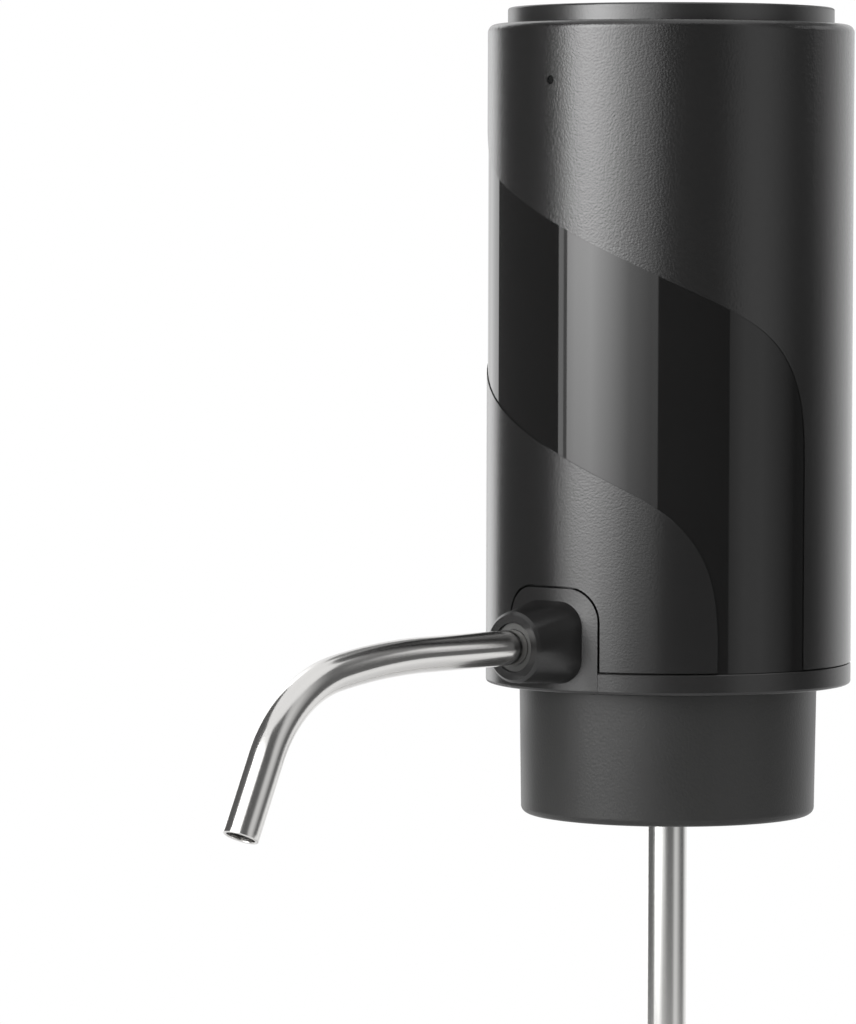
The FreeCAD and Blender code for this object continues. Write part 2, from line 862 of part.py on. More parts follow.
def spout_housing():
    """Curved plate flush with the shell, a boss that turns from rounded square to round, and a spigot."""
    half = plate_width / 2
    skin = turned([
        (inner_radius, ring_bottom),
        (shell_radius, ring_bottom, ring_edge),
        (shell_radius, plate_top + 1),
        (inner_radius, plate_top + 1),
    ])
    plate = skin.common(arch(half, ring_bottom - 1, plate_top, plate_corner, -shell_radius - 1, -20))
    lap_bottom = shell_bottom + register_height + 0.3
    lap_skin = pipe(inner_radius - fit_gap, inner_radius - fit_gap - 1.4, lap_bottom, plate_top + plate_lap)
    lap_outline = arch(half + plate_lap, lap_bottom, plate_top + plate_lap, plate_corner + plate_lap,
                       -shell_radius, -20)
    lap = lap_skin.common(lap_outline)
    bridge = pipe(inner_radius + 0.1, inner_radius - 1.4, ring_bottom + 1.5, plate_top - 0.5)
    bridge = bridge.common(arch(half - fit_gap, ring_bottom + 1.5, plate_top - 0.5, plate_corner,
                                -shell_radius, -20))
    spigot = front_rod(spigot_radius, housing_back, -inner_radius - 0.5, spout_level)
    body = plate.fuse([lap, bridge, spigot, boss_loft()])
    body = body.cut(front_rod(spout_radius + running_gap, housing_back + 1, boss_face - 1, spout_level))
    bush_bed = front_rod(spout_radius + bush_wall + fit_gap, boss_face + bush_recess + bush_length + 0.1,
                         boss_face - 1, spout_level)
    body = body.cut(bush_bed)
    for place in seal_places():
        bed = front_rod(spout_radius + running_gap + seal_section, place + seal_section / 2 + 0.1,
                        place - seal_section / 2 - 0.1, spout_level)
        body = body.cut(bed)
    return body.removeSplitter()


def boss_loft():
    """Ruled loft between eight edges of a rounded square and eight arcs of a circle, with a rim."""
    root = -math.sqrt(shell_radius ** 2 - (boss_width / 2) ** 2) + 0.3
    shoulder = boss_face + boss_edge
    middle = spout_level + boss_lift
    half_wide = boss_width / 2
    half_high = boss_height / 2
    square = rounded_outline([
        (-half_wide, root, middle - half_high, boss_corner),
        (half_wide, root, middle - half_high, boss_corner),
        (half_wide, root, middle + half_high, boss_corner),
        (-half_wide, root, middle + half_high, boss_corner),
    ])
    circle = []
    first = 180 + side_span / 2
    for i in range(8):
        last = first + (90 - side_span if i % 2 == 0 else side_span)
        points = []
        for degrees in (first, (first + last) / 2, last):
            x, z = on_circle(boss_face_radius, degrees)
            points.append(Vector(x, shoulder, spout_level + z))
        circle.append(Part.Arc(*points).toShape())
        first = last
    loft = Part.makeLoft([square, Part.Wire(circle)], True, True)
    rim = Part.makeCone(boss_face_radius, boss_face_radius - boss_edge, boss_edge,
                        Vector(0, shoulder, spout_level), FRONT)
    return loft.fuse(rim)


def seal_places():
    """Y of the two seals behind the bush."""
    first = boss_face + bush_recess + bush_length + 2.0
    return first, first + 2.6


def spout_bush():
    near = boss_face + bush_recess + bush_length
    outer = front_rod(spout_radius + bush_wall, near, boss_face + bush_recess, spout_level)
    return outer.cut(front_rod(spout_radius + running_gap, near + 1, boss_face - 1, spout_level))


def spout_seals():
    """Two square-cut rings round the spout."""
    rings = []
    for place in seal_places():
        near, far = place + seal_section / 2, place - seal_section / 2
        ring = front_rod(spout_radius + seal_section, near, far, spout_level)
        rings.append(ring.cut(front_rod(spout_radius + seal_squeeze, near + 1, far - 1, spout_level)))
    return Part.makeCompound(rings)


def spout_path():
    """Straight out of the boss, a long gentle sag, the bend, and a straight end."""
    edges = []
    place = Vector(0, tube_start, spout_level)
    heading = 0.0
    edges.append(Part.LineSegment(place, place + FRONT * (spout_inside + spout_run)).toShape())
    place = place + FRONT * (spout_inside + spout_run)
    for radius, turn in ((sag_radius, sag_degrees), (bend_radius, bend_degrees)):
        edge, place = downward_arc(place, heading, radius, turn)
        heading += turn
        edges.append(edge)
    down = math.radians(heading)
    end = place + Vector(0, -math.cos(down), -math.sin(down)) * spout_end_run
    edges.append(Part.LineSegment(place, end).toShape())
    return Part.Wire(edges)


def downward_arc(start, heading, radius, turn):
    """Arc in the front plane that bends down by the turn, with the heading in degrees below level."""
    points = [start]
    for share in (0.5, 1.0):
        first, last = math.radians(heading), math.radians(heading + turn * share)
        out = radius * (math.sin(last) - math.sin(first))
        down = radius * (math.cos(first) - math.cos(last))
        points.append(start + Vector(0, -out, -down))
    return Part.Arc(*points).toShape(), points[-1]


def spout_tube():
    path = spout_path()
    tube = swept(path, spout_radius).cut(swept(path, spout_radius - spout_wall))
    ring = math.pi * (spout_radius ** 2 - (spout_radius - spout_wall) ** 2)
    print(f"spout_tube: length {path.Length:.1f}, volume {tube.Volume:.1f}, "
          f"section times length {ring * path.Length:.1f}")
    return tube


# Telescopic dip tube


def dip_tube_upper():
    return pipe(dip_radius, dip_radius - dip_wall, dip_bottom, core_top + 3.9)


def dip_tube_gland():
    """End sleeve on the fixed tube, which guides the sliding tube and stops its bead."""
    outer = dip_radius + fit_gap + gland_wall
    return turned([
        (dip_inner_radius + running_gap, dip_bottom - gland_lip),
        (outer, dip_bottom - gland_lip, 0.5),
        (outer, dip_bottom - gland_lip + gland_length, 0.3),
        (dip_radius + fit_gap, dip_bottom - gland_lip + gland_length),
        (dip_radius + fit_gap, dip_bottom - 0.05),
        (dip_inner_radius + running_gap, dip_bottom - 0.05),
    ])


def foot_top():
    return dip_bottom - gland_lip - soft_gap


def dip_tube_lower():
    """Sliding tube with a bead at its top end."""
    top = dip_bottom + dip_travel + dip_bead + soft_gap
    inside = dip_inner_radius - dip_inner_wall
    bead = dip_radius - dip_wall - running_gap
    return turned([
        (inside, foot_top() - foot_length + 2),
        (dip_inner_radius, foot_top() - foot_length + 2),
        (dip_inner_radius, top - dip_bead),
        (bead, top - dip_bead),
        (bead, top, 0.2),
        (inside, top),
    ])


def dip_tube_foot():
    """Soft end with two crossing notches, so that the tube still draws when it stands on a floor."""
    top = foot_top()
    outer = dip_inner_radius + fit_gap + foot_wall
    bottom = top - foot_length
    body = turned([
        (dip_inner_radius + fit_gap, top),
        (dip_inner_radius + fit_gap, bottom + 1.9),
        (dip_inner_radius - dip_inner_wall, bottom + 1.9),
        (dip_inner_radius - dip_inner_wall, bottom),
        (outer, bottom, 0.5),
        (outer, top, 0.8),
    ])
    for wide, long in ((foot_notch, 2 * outer + 1), (2 * outer + 1, foot_notch)):
        body = body.cut(block(-wide / 2, wide / 2, -long / 2, long / 2, bottom - 1, bottom + 1.2))
    return body


# Inner frame and fasteners


def pump_screw_places():
    return [(pump_offset + x, y) for x, y in (on_circle(pump_screw_circle, turn) for turn in (60, 180, 300))]


def lead_line():
    """Y of the leads that run down in front of the main board."""
    return board_front - 2.0


def inner_frame():
    """Floor, roof and web in one moulding, with posts, cradles for cell and motor, and board rails."""
    floor = rod(frame_radius, floor_bottom, floor_top)
    roof = rod(frame_radius, roof_bottom, roof_top)
    web = block(web_centre - web_thickness / 2, web_centre + web_thickness / 2,
                -board_front, lead_line() - 1.5, floor_top - 0.1, roof_bottom + 0.1)
    parts = [roof, web]
    for turn in post_turns:
        x, y = on_circle(post_circle, turn)
        parts.append(rod(post_radius, ring_top, floor_bottom + 0.1, x, y))
    for x, y in pump_screw_places():
        parts.append(rod(2.2, floor_top - 0.1, pump_bottom, x, y))
    for level in (cell_bottom + 9, cell_top - 12):
        parts.append(cradle(cell_offset, cell_radius, level, cradle_height, 1))
    parts.append(cradle(pump_offset, motor_radius, motor_bottom + 8, cradle_height * 3, -1))
    for side in (-1, 1):
        parts.append(board_rail(side))
    body = floor.fuse(parts)
    for turn in post_turns:
        x, y = on_circle(post_circle, turn)
        body = body.cut(rod(screw_radius + running_gap, ring_top - 1, ring_top + screw_length, x, y))
    for x, y in pump_screw_places():
        body = body.cut(rod(screw_radius + 0.1, floor_bottom - 1, pump_bottom + 1, x, y))
    body = body.cut(rod(hose_radius + 0.6, floor_bottom - 1, floor_top + 1, pump_offset))
    housing_room = block(-plate_width / 2 - plate_lap - 1, plate_width / 2 + plate_lap + 1, -inner_radius - 1,
                         -inner_radius + 4.0, floor_bottom - 1, floor_top + 1)
    body = body.cut(housing_room)
    body = body.cut(lead_notch(frame_radius + 1, roof_bottom - 1, roof_top + 1))
    for degrees in (45, 225):
        x, y = on_circle(button_board_radius - 4, degrees)
        body = body.cut(rod(screw_radius + running_gap, roof_bottom - 1, roof_top + 1, x, y))
    return body


def cradle(x, radius, level, height, side):
    """Open ring round the cell or the motor, joined to the web by a short bridge."""
    inner = radius + soft_gap
    outer = inner + cradle_wall
    low, high = sorted((x, web_centre))
    bridge = block(low, high, -outer / 2, outer / 2, level, level + height)
    body = rod(outer, level, level + height, x).fuse(bridge)
    mouth = sorted((x + side * radius * 0.45, x + side * (outer + 1)))
    body = body.cut(block(*mouth, -outer - 1, outer + 1, level - 1, level + height + 1))
    return body.cut(rod(inner, level - 1, level + height + 1, x))


def board_rail(side):
    """Upright rail with a slot for one edge of the main board."""
    inner = board_width / 2 - 1.0
    outer = inner + 2.8
    x0, x1 = sorted((side * inner, side * outer))
    rail = block(x0, x1, board_front - 1.4, board_back + 1.4, floor_top - 0.1, roof_bottom + 0.1)
    edge = board_width / 2 + fit_gap
    s0, s1 = sorted((side * (inner - 1), side * edge))
    slot = block(s0, s1, board_front - fit_gap, board_back + fit_gap, floor_top + board_foot, roof_bottom - 1)
    return rail.common(rod(frame_radius, floor_top - 1, roof_top + 1)).cut(slot)


def base_screws():
    screws = []
    for turn in post_turns:
        x, y = on_circle(post_circle, turn)
        screws.append(screw(screw_length + ring_top - spigot_bottom - 3.0, x, y, spigot_bottom + 1.6))
    return Part.makeCompound(screws)


def pump_screws():
    length = crankcase_bottom + 5.0 - floor_bottom
    return Part.makeCompound([screw(length, x, y, floor_bottom) for x, y in pump_screw_places()])


def board_screws():
    screws = []
    for degrees in (45, 225):
        x, y = on_circle(button_board_radius - 4, degrees)
        screws.append(screw(2.6, x, y, button_board_top, -1))
    return Part.makeCompound(screws)


# Pump


def pump_cover():
    body = rod(pump_radius, pump_bottom, plate_level, pump_offset)
    body = body.cut(rod(pump_radius - 5.0, plate_level - 1.6, plate_level + 1, pump_offset))
    nipple_end = valve_top() + 2.2
    body = body.fuse(rod(nipple_radius, nipple_end, pump_bottom + 0.1, pump_offset))
    body = body.cut(rod(nipple_bore, nipple_end - 1, plate_level + 1, pump_offset))
    for x, y in pump_screw_places():
        body = body.cut(rod(screw_radius + 0.1, pump_bottom - 1, plate_level + 1, x, y))
    return body.removeSplitter()


def cup_places():
    return [(pump_offset + x, y) for x, y in (on_circle(cup_circle, turn) for turn in (0, 120, 240))]


def valve_plate():
    body = rod(pump_radius, plate_level, diaphragm_level, pump_offset)
    for x, y in pump_screw_places():
        body = body.cut(rod(screw_radius + 0.1, plate_level - 1, diaphragm_level + 1, x, y))
    for x, y in cup_places():
        for shift in (-1.2, 1.2):
            body = body.cut(rod(0.6, plate_level - 1, diaphragm_level + 1, x, y + shift))
    return body


def pump_diaphragm():
    """Rubber sheet with three cups, each closed at its top by a knob for the wobble plate."""
    body = rod(pump_radius, diaphragm_level, crankcase_bottom, pump_offset)
    for x, y in cup_places():
        body = body.fuse(rod(cup_radius, crankcase_bottom - 0.1, cup_top, x, y))
    for x, y in cup_places():
        body = body.cut(rod(cup_radius - 1.0, diaphragm_level - 1, cup_top - 1.0, x, y))
    for x, y in pump_screw_places():
        body = body.cut(rod(screw_radius + 0.1, diaphragm_level - 1, crankcase_bottom + 1, x, y))
    return body.removeSplitter()


def pump_case():
    body = pipe(pump_radius, pump_radius - pump_wall, crankcase_bottom, motor_bottom, pump_offset)
    body = body.fuse(rod(pump_radius, motor_bottom - 1.6, motor_bottom, pump_offset))
    for x, y in pump_screw_places():
        lug = rod(2.0, crankcase_bottom, crankcase_bottom + 8, x, y)
        body = body.fuse(lug.common(rod(pump_radius, crankcase_bottom, motor_bottom, pump_offset)))
    for x, y in pump_screw_places():
        body = body.cut(rod(screw_radius + 0.05, crankcase_bottom - 1, crankcase_bottom + 6, x, y))
    body = body.cut(rod(shaft_radius + 1.0, motor_bottom - 3, motor_bottom + 1, pump_offset))
    return body.removeSplitter()


def wobble_plate():
    """Three-armed plate on the cups, with a round pocket that the crank's pin runs in."""
    thick = 1.6
    plate = rod(4.6, cup_top, cup_top + thick, pump_offset)
    for x, y in cup_places():
        plate = plate.fuse(rod(cup_radius - 0.8, cup_top, cup_top + thick, x, y))
    pocket = crank_throw + crank_pin_radius + soft_gap
    low = crank_bottom() - crank_pin_length - soft_gap
    plate = plate.fuse(rod(pocket + 1.0, cup_top, crank_bottom() - soft_gap, pump_offset))
    plate = plate.cut(rod(pocket, low, crank_bottom() + 1, pump_offset))
    return plate.removeSplitter()


def crank_bottom():
    return cup_top + 3.6


def drive_crank():
    """Disc on the motor's shaft with an off-centre pin, and a balance flat opposite the pin."""
    low = crank_bottom()
    body = rod(crank_radius, low, low + crank_height, pump_offset)
    body = body.cut(block(pump_offset - crank_radius - 1, pump_offset - crank_radius + 1.4, -crank_radius,
                          crank_radius, low - 1, low + crank_height - 1.0))
    body = body.fuse(rod(crank_pin_radius, low - crank_pin_length, low + 0.1, pump_offset + crank_throw))
    return body.cut(rod(shaft_radius, low + 1.0, low + crank_height + 1, pump_offset)).removeSplitter()


def drive_shaft():
    return rod(shaft_radius, crank_bottom() + 1.0, motor_top + 1.0, pump_offset)


# Motor


def motor_can():
    body = rod(motor_radius, motor_bottom, motor_top, pump_offset)
    body = body.cut(rod(motor_radius - motor_wall, motor_bottom + motor_wall, motor_top + 1, pump_offset))
    return body.cut(rod(shaft_radius + running_gap, motor_bottom - 1, motor_bottom + 2, pump_offset))


def motor_magnets():
    """Two arc magnets inside the can."""
    outer = motor_radius - motor_wall - fit_gap
    low = motor_bottom + 4.0
    high = low + magnet_length
    ring = pipe(outer, outer - magnet_thickness, low, high, pump_offset)
    gap = block(pump_offset - 2.0, pump_offset + 2.0, -motor_radius, motor_radius, low - 1, high + 1)
    return ring.cut(gap)


def motor_armature():
    """Three-pole armature with its commutator, on the shaft."""
    low = motor_bottom + 5.0
    body = rod(armature_radius, low, low + armature_length, pump_offset)
    for turn in (30, 150, 270):
        x, y = on_circle(armature_radius, turn)
        body = body.cut(rod(2.4, low - 1, low + armature_length + 1, pump_offset + x * 0.9, y * 0.9))
    body = body.fuse(rod(2.8, low + armature_length - 0.1, motor_top - 0.6, pump_offset))
    return body.cut(rod(shaft_radius, low - 1, motor_top + 1, pump_offset)).removeSplitter()


def motor_end_cap():
    body = rod(motor_radius, motor_top, end_cap_top, pump_offset)
    body = body.cut(rod(shaft_radius + running_gap, motor_top - 1, motor_top + 1.2, pump_offset))
    for side in (-1, 1):
        x = pump_offset + side * terminal_spread / 2
        body = body.cut(block(x - 0.3, x + 0.3, -1.2, 1.2, end_cap_top - 1.5, end_cap_top + 1))
    return body


def motor_terminals():
    blades = []
    for side in (-1, 1):
        x = pump_offset + side * terminal_spread / 2
        foot = end_cap_top - 1.5
        blades.append(block(x - 0.25, x + 0.25, -1.1, 1.1, foot, foot + terminal_height))
    return Part.makeCompound(blades)


def motor_damper():
    """Foam ring between the motor and its cradle's arms."""
    low = motor_bottom + 8.5
    high = low + cradle_height * 3 - 1.0
    return pipe(motor_radius + soft_gap - 0.02, motor_radius + 0.02, low, high, pump_offset)


# Battery, boards, inlet and leads


def battery_cell():
    body = rod(cell_radius, cell_bottom, cell_top - 0.4, cell_offset)
    return body.fuse(rod(2.8, cell_top - 0.5, cell_top, cell_offset)).removeSplitter()


def battery_tabs():
    """Welded nickel strips: the lower one reaches the foot of the main board."""
    half = tab_width / 2
    low = cell_bottom - tab_thickness
    x = cell_offset - tab_shift
    lower = block(x - half, x + half, -tab_front, board_front, low, cell_bottom)
    x = cell_offset
    upper = block(x - half, x + half, -tab_front, tab_back, cell_top, cell_top + tab_thickness)
    return Part.makeCompound([lower, upper])


def battery_pad():
    return rod(cell_radius - 0.6, floor_top, floor_top + pad_thickness, cell_offset)


def main_board():
    half = board_width / 2
    body = block(-half, half, board_front, board_back, board_bottom, board_top)
    for x in (-half + board_hole_inset, half - board_hole_inset):
        start = Vector(x, board_front - 1, board_top - board_hole_drop)
        hole = Part.makeCylinder(board_hole_radius, board_thickness + 2, start, Vector(0, 1, 0))
        body = body.cut(hole)
    return body


def board_parts():
    """Charging chip, controller, coil and the connectors, all on the main board."""
    low = board_bottom + controller_level
    coil_place = Vector(coil_side, board_front, low + coil_rise)
    return Part.makeCompound([
        on_board(0, controller_width, controller_thickness, low, controller_height),
        on_board(0, charger_width, charger_thickness, low + charger_rise, charger_height),
        Part.makeCylinder(coil_radius, coil_thickness, coil_place, FRONT),
        plug(-motor_plug_side, motor_plug_width),
        plug(0, signal_plug_width),
        plug(battery_plug_side, battery_plug_width),
    ])


def on_board(x, width, thickness, low, height):
    """Block on the front of the main board."""
    return block(x - width / 2, x + width / 2, board_front - thickness, board_front, low, low + height)


def plug(x, width):
    """Connector on the main board, which holds the ends of leads."""
    thickness = board_front - lead_line() + plug_front
    return on_board(x, width, thickness, plug_top() - plug_height, plug_height)


def plug_top():
    return board_top - plug_drop


def charge_port():
    """Steel sleeve of the charging inlet, which stands on the main board and ends in the back wall."""
    mouth = shell_radius - port_sunk
    outer = port_slot(0.0, board_back, mouth)
    return outer.cut(port_slot(-port_wall, board_back + port_wall, mouth + 1))


def charge_tongue():
    level = seam + port_height
    half_wide = port_width / 2 - 1.1
    return block(-half_wide, half_wide, board_back + port_wall, shell_radius - port_sunk - 1.0,
                 level - 0.35, level + 0.35)


def lead(points):
    """Insulated wire along a route, with its bend radius and volume printed."""
    path = route(points, lead_bend)
    solid = swept(path, lead_radius)
    section = math.pi * lead_radius ** 2
    print(f"lead: bends of {lead_bend}, length {path.Length:.1f}, volume {solid.Volume:.2f}, "
          f"section times length {section * path.Length:.2f}")
    return solid


def motor_leads():
    level = roof_bottom - lead_radius - soft_gap
    wires = []
    for side in (-1, 1):
        x = side * motor_lead_spread / 2 - motor_plug_side
        terminal = pump_offset + side * terminal_spread / 2
        low = end_cap_top + terminal_height - terminal_lap
        wires.append(lead([(terminal, 0, low), (terminal, 0, level), (x, lead_line(), level),
                           (x, lead_line(), plug_top())]))
    return Part.makeCompound(wires)


def battery_lead():
    level = cell_top + tab_thickness + lead_radius
    x = battery_plug_side
    start = (cell_offset, tab_back - lead_end_gap, level)
    return lead([start, (x, lead_line(), level), (x, lead_line(), plug_top())])


def signal_leads():
    """Three straight wires from the button board down to the main board."""
    places = (-signal_pitch, 0.0, signal_pitch)
    wires = [rod(lead_radius, plug_top(), roof_top, x, lead_line()) for x in places]
    return Part.makeCompound(wires)


NODES = {
    "outer_shell": outer_shell,
    "top_button": top_button,
    "return_spring": return_spring,
    "tact_switch": tact_switch,
    "switch_stem": switch_stem,
    "button_board": button_board,
    "board_screws": board_screws,
    "status_led": status_led,
    "light_pipe": light_pipe,
    "base_cover": base_cover,
    "base_seal": base_seal,
    "base_screws": base_screws,
    "neck_collar": neck_collar,
    "neck_stopper": neck_stopper,
    "stopper_core": stopper_core,
    "flow_block": flow_block,
    "air_hose": air_hose,
    "check_valve": check_valve,
    "spout_housing": spout_housing,
    "spout_bush": spout_bush,
    "spout_seals": spout_seals,
    "spout_tube": spout_tube,
    "dip_tube_seal": dip_tube_seal,
    "dip_tube_upper": dip_tube_upper,
    "dip_tube_gland": dip_tube_gland,
    "dip_tube_lower": dip_tube_lower,
    "dip_tube_foot": dip_tube_foot,
    "inner_frame": inner_frame,
    "pump_screws": pump_screws,
    "pump_cover": pump_cover,
    "valve_plate": valve_plate,
    "pump_diaphragm": pump_diaphragm,
    "pump_case": pump_case,
    "wobble_plate": wobble_plate,
    "drive_crank": drive_crank,
    "drive_shaft": drive_shaft,
    "motor_can": motor_can,
    "motor_magnets": motor_magnets,
    "motor_armature": motor_armature,
    "motor_end_cap": motor_end_cap,
    "motor_terminals": motor_terminals,
    "motor_damper": motor_damper,
    "motor_leads": motor_leads,
    "battery_cell": battery_cell,
    "battery_tabs": battery_tabs,
    "battery_pad": battery_pad,
    "battery_lead": battery_lead,
    "main_board": main_board,
    "board_parts": board_parts,
    "signal_leads": signal_leads,
    "charge_port": charge_port,
    "charge_tongue": charge_tongue,
}

for name, make in NODES.items():
    shape = make()
    shape.exportStep(f"parts/{name}.step")
    solids = shape.Solids
    print(f"{name}: {len(solids)} solid(s), volume {shape.Volume:.1f}, valid {shape.isValid()}")
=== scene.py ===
# %% [markdown]
# A battery dispenser with a matt body, a polished band and a steel spout
#
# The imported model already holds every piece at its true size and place, and says which pieces move
# together. This scene dresses it. Pieces whose shape shows most get a finer surface of their own, every
# piece gets its finish, and soft light does the rest. Lengths are in metres, but outlines and paths are
# worked out in millimetres. +Z is up along the body's axis, and the spout points along -Y.

import json
import math

import bmesh
import bpy
import numpy as np
from mathutils import Matrix, Vector


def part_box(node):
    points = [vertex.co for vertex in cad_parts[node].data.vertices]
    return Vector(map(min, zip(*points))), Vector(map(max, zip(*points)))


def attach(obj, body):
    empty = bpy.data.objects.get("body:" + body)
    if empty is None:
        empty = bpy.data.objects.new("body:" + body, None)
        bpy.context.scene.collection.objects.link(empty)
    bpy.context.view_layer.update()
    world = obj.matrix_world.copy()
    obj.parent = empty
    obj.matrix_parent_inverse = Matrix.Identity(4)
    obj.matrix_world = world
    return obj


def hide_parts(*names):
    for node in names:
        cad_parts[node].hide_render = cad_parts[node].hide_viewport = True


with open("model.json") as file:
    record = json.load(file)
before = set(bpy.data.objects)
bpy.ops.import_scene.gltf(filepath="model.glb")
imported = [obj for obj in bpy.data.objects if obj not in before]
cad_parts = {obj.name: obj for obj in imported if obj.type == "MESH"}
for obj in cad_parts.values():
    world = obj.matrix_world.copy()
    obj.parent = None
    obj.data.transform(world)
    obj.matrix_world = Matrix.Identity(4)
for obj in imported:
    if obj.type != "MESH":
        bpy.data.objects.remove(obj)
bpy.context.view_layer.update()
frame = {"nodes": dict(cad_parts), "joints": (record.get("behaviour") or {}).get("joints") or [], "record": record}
scene = bpy.context.scene
scene.view_settings.view_transform = "Standard"
MM = 0.001
slots = {part["node"]: part["material_slot"] for part in frame["record"]["subparts"]}

# %% [markdown]
# The camera
#
# The picture was taken with a long lens from about 0.84 m, nearly level, 40 degrees round from the spout.
# A wide lens close by would bend the rim and the seam much more than they are bent there. So the place,
# tilt and lens were fitted to the body's outline, and are written here as real sizes and angles.

# %% camera
SHOT_DISTANCE = 843.8 * MM
SHOT_AZIMUTH = math.radians(39.9)    # from the spout's direction towards +X
SHOT_HEIGHT = 73.91 * MM
SHOT_YAW = math.radians(-2.465)
SHOT_PITCH = math.radians(2.961)
SHOT_ROLL = math.radians(0.160)
FOCAL_PIXELS = 5598.4
PICTURE_HEIGHT = 1024
NEAREST_SEEN = 50 * MM


def camera_turn(azimuth, yaw, pitch, roll):
    """Turn of a camera that faces the axis from an azimuth, then yaws, pitches down and rolls.

    Ahead is (sin yaw cos pitch, cos yaw cos pitch, -sin pitch), right is (cos yaw, -sin yaw, 0), and up is
    square to both. The roll then turns right and up about ahead, and the azimuth turns all three about Z.
    """
    level = math.cos(pitch)
    ahead = Vector((math.sin(yaw) * level, math.cos(yaw) * level, -math.sin(pitch)))
    right = Vector((math.cos(yaw), -math.sin(yaw), 0))
    above = right.cross(ahead)
    across = right * math.cos(roll) + above * math.sin(roll)
    upward = above * math.cos(roll) - right * math.sin(roll)
    return Matrix.Rotation(azimuth, 3, "Z") @ Matrix((across, upward, -ahead)).transposed()


camera = bpy.data.objects.new("camera", bpy.data.cameras.new("camera"))
scene.collection.objects.link(camera)
scene.camera = camera
camera.data.lens = FOCAL_PIXELS / PICTURE_HEIGHT * camera.data.sensor_width
camera.data.clip_start = NEAREST_SEEN
stand = Vector((math.sin(SHOT_AZIMUTH), -math.cos(SHOT_AZIMUTH), 0)) * SHOT_DISTANCE
stand.z = SHOT_HEIGHT
turn = camera_turn(SHOT_AZIMUTH, SHOT_YAW, SHOT_PITCH, SHOT_ROLL)
camera.matrix_world = Matrix.Translation(stand) @ turn.to_4x4()
print("camera at", tuple(round(c, 3) for c in stand), "lens", round(camera.data.lens, 1), "mm")

# %% [markdown]
# Surfaces from grids
#
# Nearly every piece of this object that shows was turned on a lathe, drawn as a tube or moulded in a
# round tool. Such a surface is one outline carried round an axis or along a path, which is a grid of
# points: one row for each point of the outline, one column for each step round. Adding cylinders and
# bevelling them would give the same look with less control over the edges. The grid is worked out as
# whole arrays, and one function puts it into a mesh.

# %% put a grid into a mesh
MERGE_DISTANCE = 0.001 * MM
SHORTEST_EDGE = 0.0005 * MM
SHARP_ANGLE = math.radians(38)
finishes = {}


def lay_uv(mesh, uv):
    """UV map that gives each corner of each face the (u, v) of its point."""
    corner = np.empty(len(mesh.loops), int)
    mesh.loops.foreach_get("vertex_index", corner)
    layer = mesh.uv_layers.new(name="surface")
    layer.data.foreach_set("uv", uv.reshape(-1, 2)[corner].ravel().astype(np.float32))


def merged(mesh):
    """Joins points that lie on each other, as where two stretches of an outline meet, and drops what
    that leaves without an area."""
    solid = bmesh.new()
    solid.from_mesh(mesh)
    bmesh.ops.remove_doubles(solid, verts=solid.verts, dist=MERGE_DISTANCE)
    bmesh.ops.dissolve_degenerate(solid, edges=solid.edges, dist=SHORTEST_EDGE)
    solid.to_mesh(mesh)
    solid.free()


def grid_piece(name, points, body, finish, replaced, uv=None):
    """Closed surface through a grid of points, whose rows and columns both run round and meet again.

    Quad (i, j) joins row i to row i + 1 and column j to column j + 1. The enclosed volume is the sum of
    each quad's corner products over six. Where it comes out negative, the quads are turned round, so
    that faces point outwards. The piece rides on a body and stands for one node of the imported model.
    """
    rows, columns = points.shape[:2]
    i, j = np.meshgrid(np.arange(rows), np.arange(columns), indexing="ij")
    below, beside = (i + 1) % rows, (j + 1) % columns
    corners = [i * columns + j, below * columns + j, below * columns + beside, i * columns + beside]
    quads = np.stack(corners, axis=-1).reshape(-1, 4)
    flat = points.reshape(-1, 3)
    a, b, c, d = (flat[quads[:, k]] for k in range(4))
    volume = (np.einsum("ij,ij->", a, np.cross(b, c)) + np.einsum("ij,ij->", a, np.cross(c, d))) / 6
    if volume < 0:
        quads = quads[:, ::-1]
    mesh = bpy.data.meshes.new(name)
    mesh.from_pydata(flat.tolist(), [], quads.tolist())
    if uv is not None:
        lay_uv(mesh, uv)
    merged(mesh)
    mesh.shade_smooth()
    mesh.set_sharp_from_angle(angle=SHARP_ANGLE)
    mesh.materials.append(finishes[finish])
    piece = bpy.data.objects.new(name, mesh)
    scene.collection.objects.link(piece)
    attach(piece, body)
    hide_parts(replaced)
    print(name, len(mesh.polygons), "faces,", round(abs(volume) / MM**3, 1), "cubic mm")


# %% outlines and lathe pieces
def rounded(corners, steps=8):
    """Outline through corners given as (radius from the axis, height, rounding), in millimetres.

    A rounded corner becomes an arc that touches both sides. It starts back from the corner by the
    rounding over the tangent of half the corner's angle, and its points are spaced evenly by angle
    about its centre, which lies on the corner's bisector at the rounding over the sine of that half.
    """
    out = []
    for k, (r, z, rounding) in enumerate(corners):
        corner = np.array([r, z], float)
        before = np.array(corners[k - 1][:2], float) - corner
        after = np.array(corners[(k + 1) % len(corners)][:2], float) - corner
        if not rounding:
            out.append(corner[None])
            continue
        before /= np.linalg.norm(before)
        after /= np.linalg.norm(after)
        half = math.acos(np.clip(before @ after, -1, 1)) / 2
        bisector = (before + after) / np.linalg.norm(before + after)
        centre = corner + bisector * rounding / math.sin(half)
        first = corner + before * rounding / math.tan(half) - centre
        last = corner + after * rounding / math.tan(half) - centre
        start = math.atan2(first[1], first[0])
        sweep = (math.atan2(last[1], last[0]) - start + math.pi) % math.tau - math.pi
        angles = start + sweep * np.linspace(0, 1, steps + 1)
        out.append(centre + rounding * np.stack([np.cos(angles), np.sin(angles)], axis=1))
    return np.concatenate(out)


def round_angles(steps):
    """Even angles once round, without the last, which is the first again."""
    return math.tau * np.arange(steps) / steps


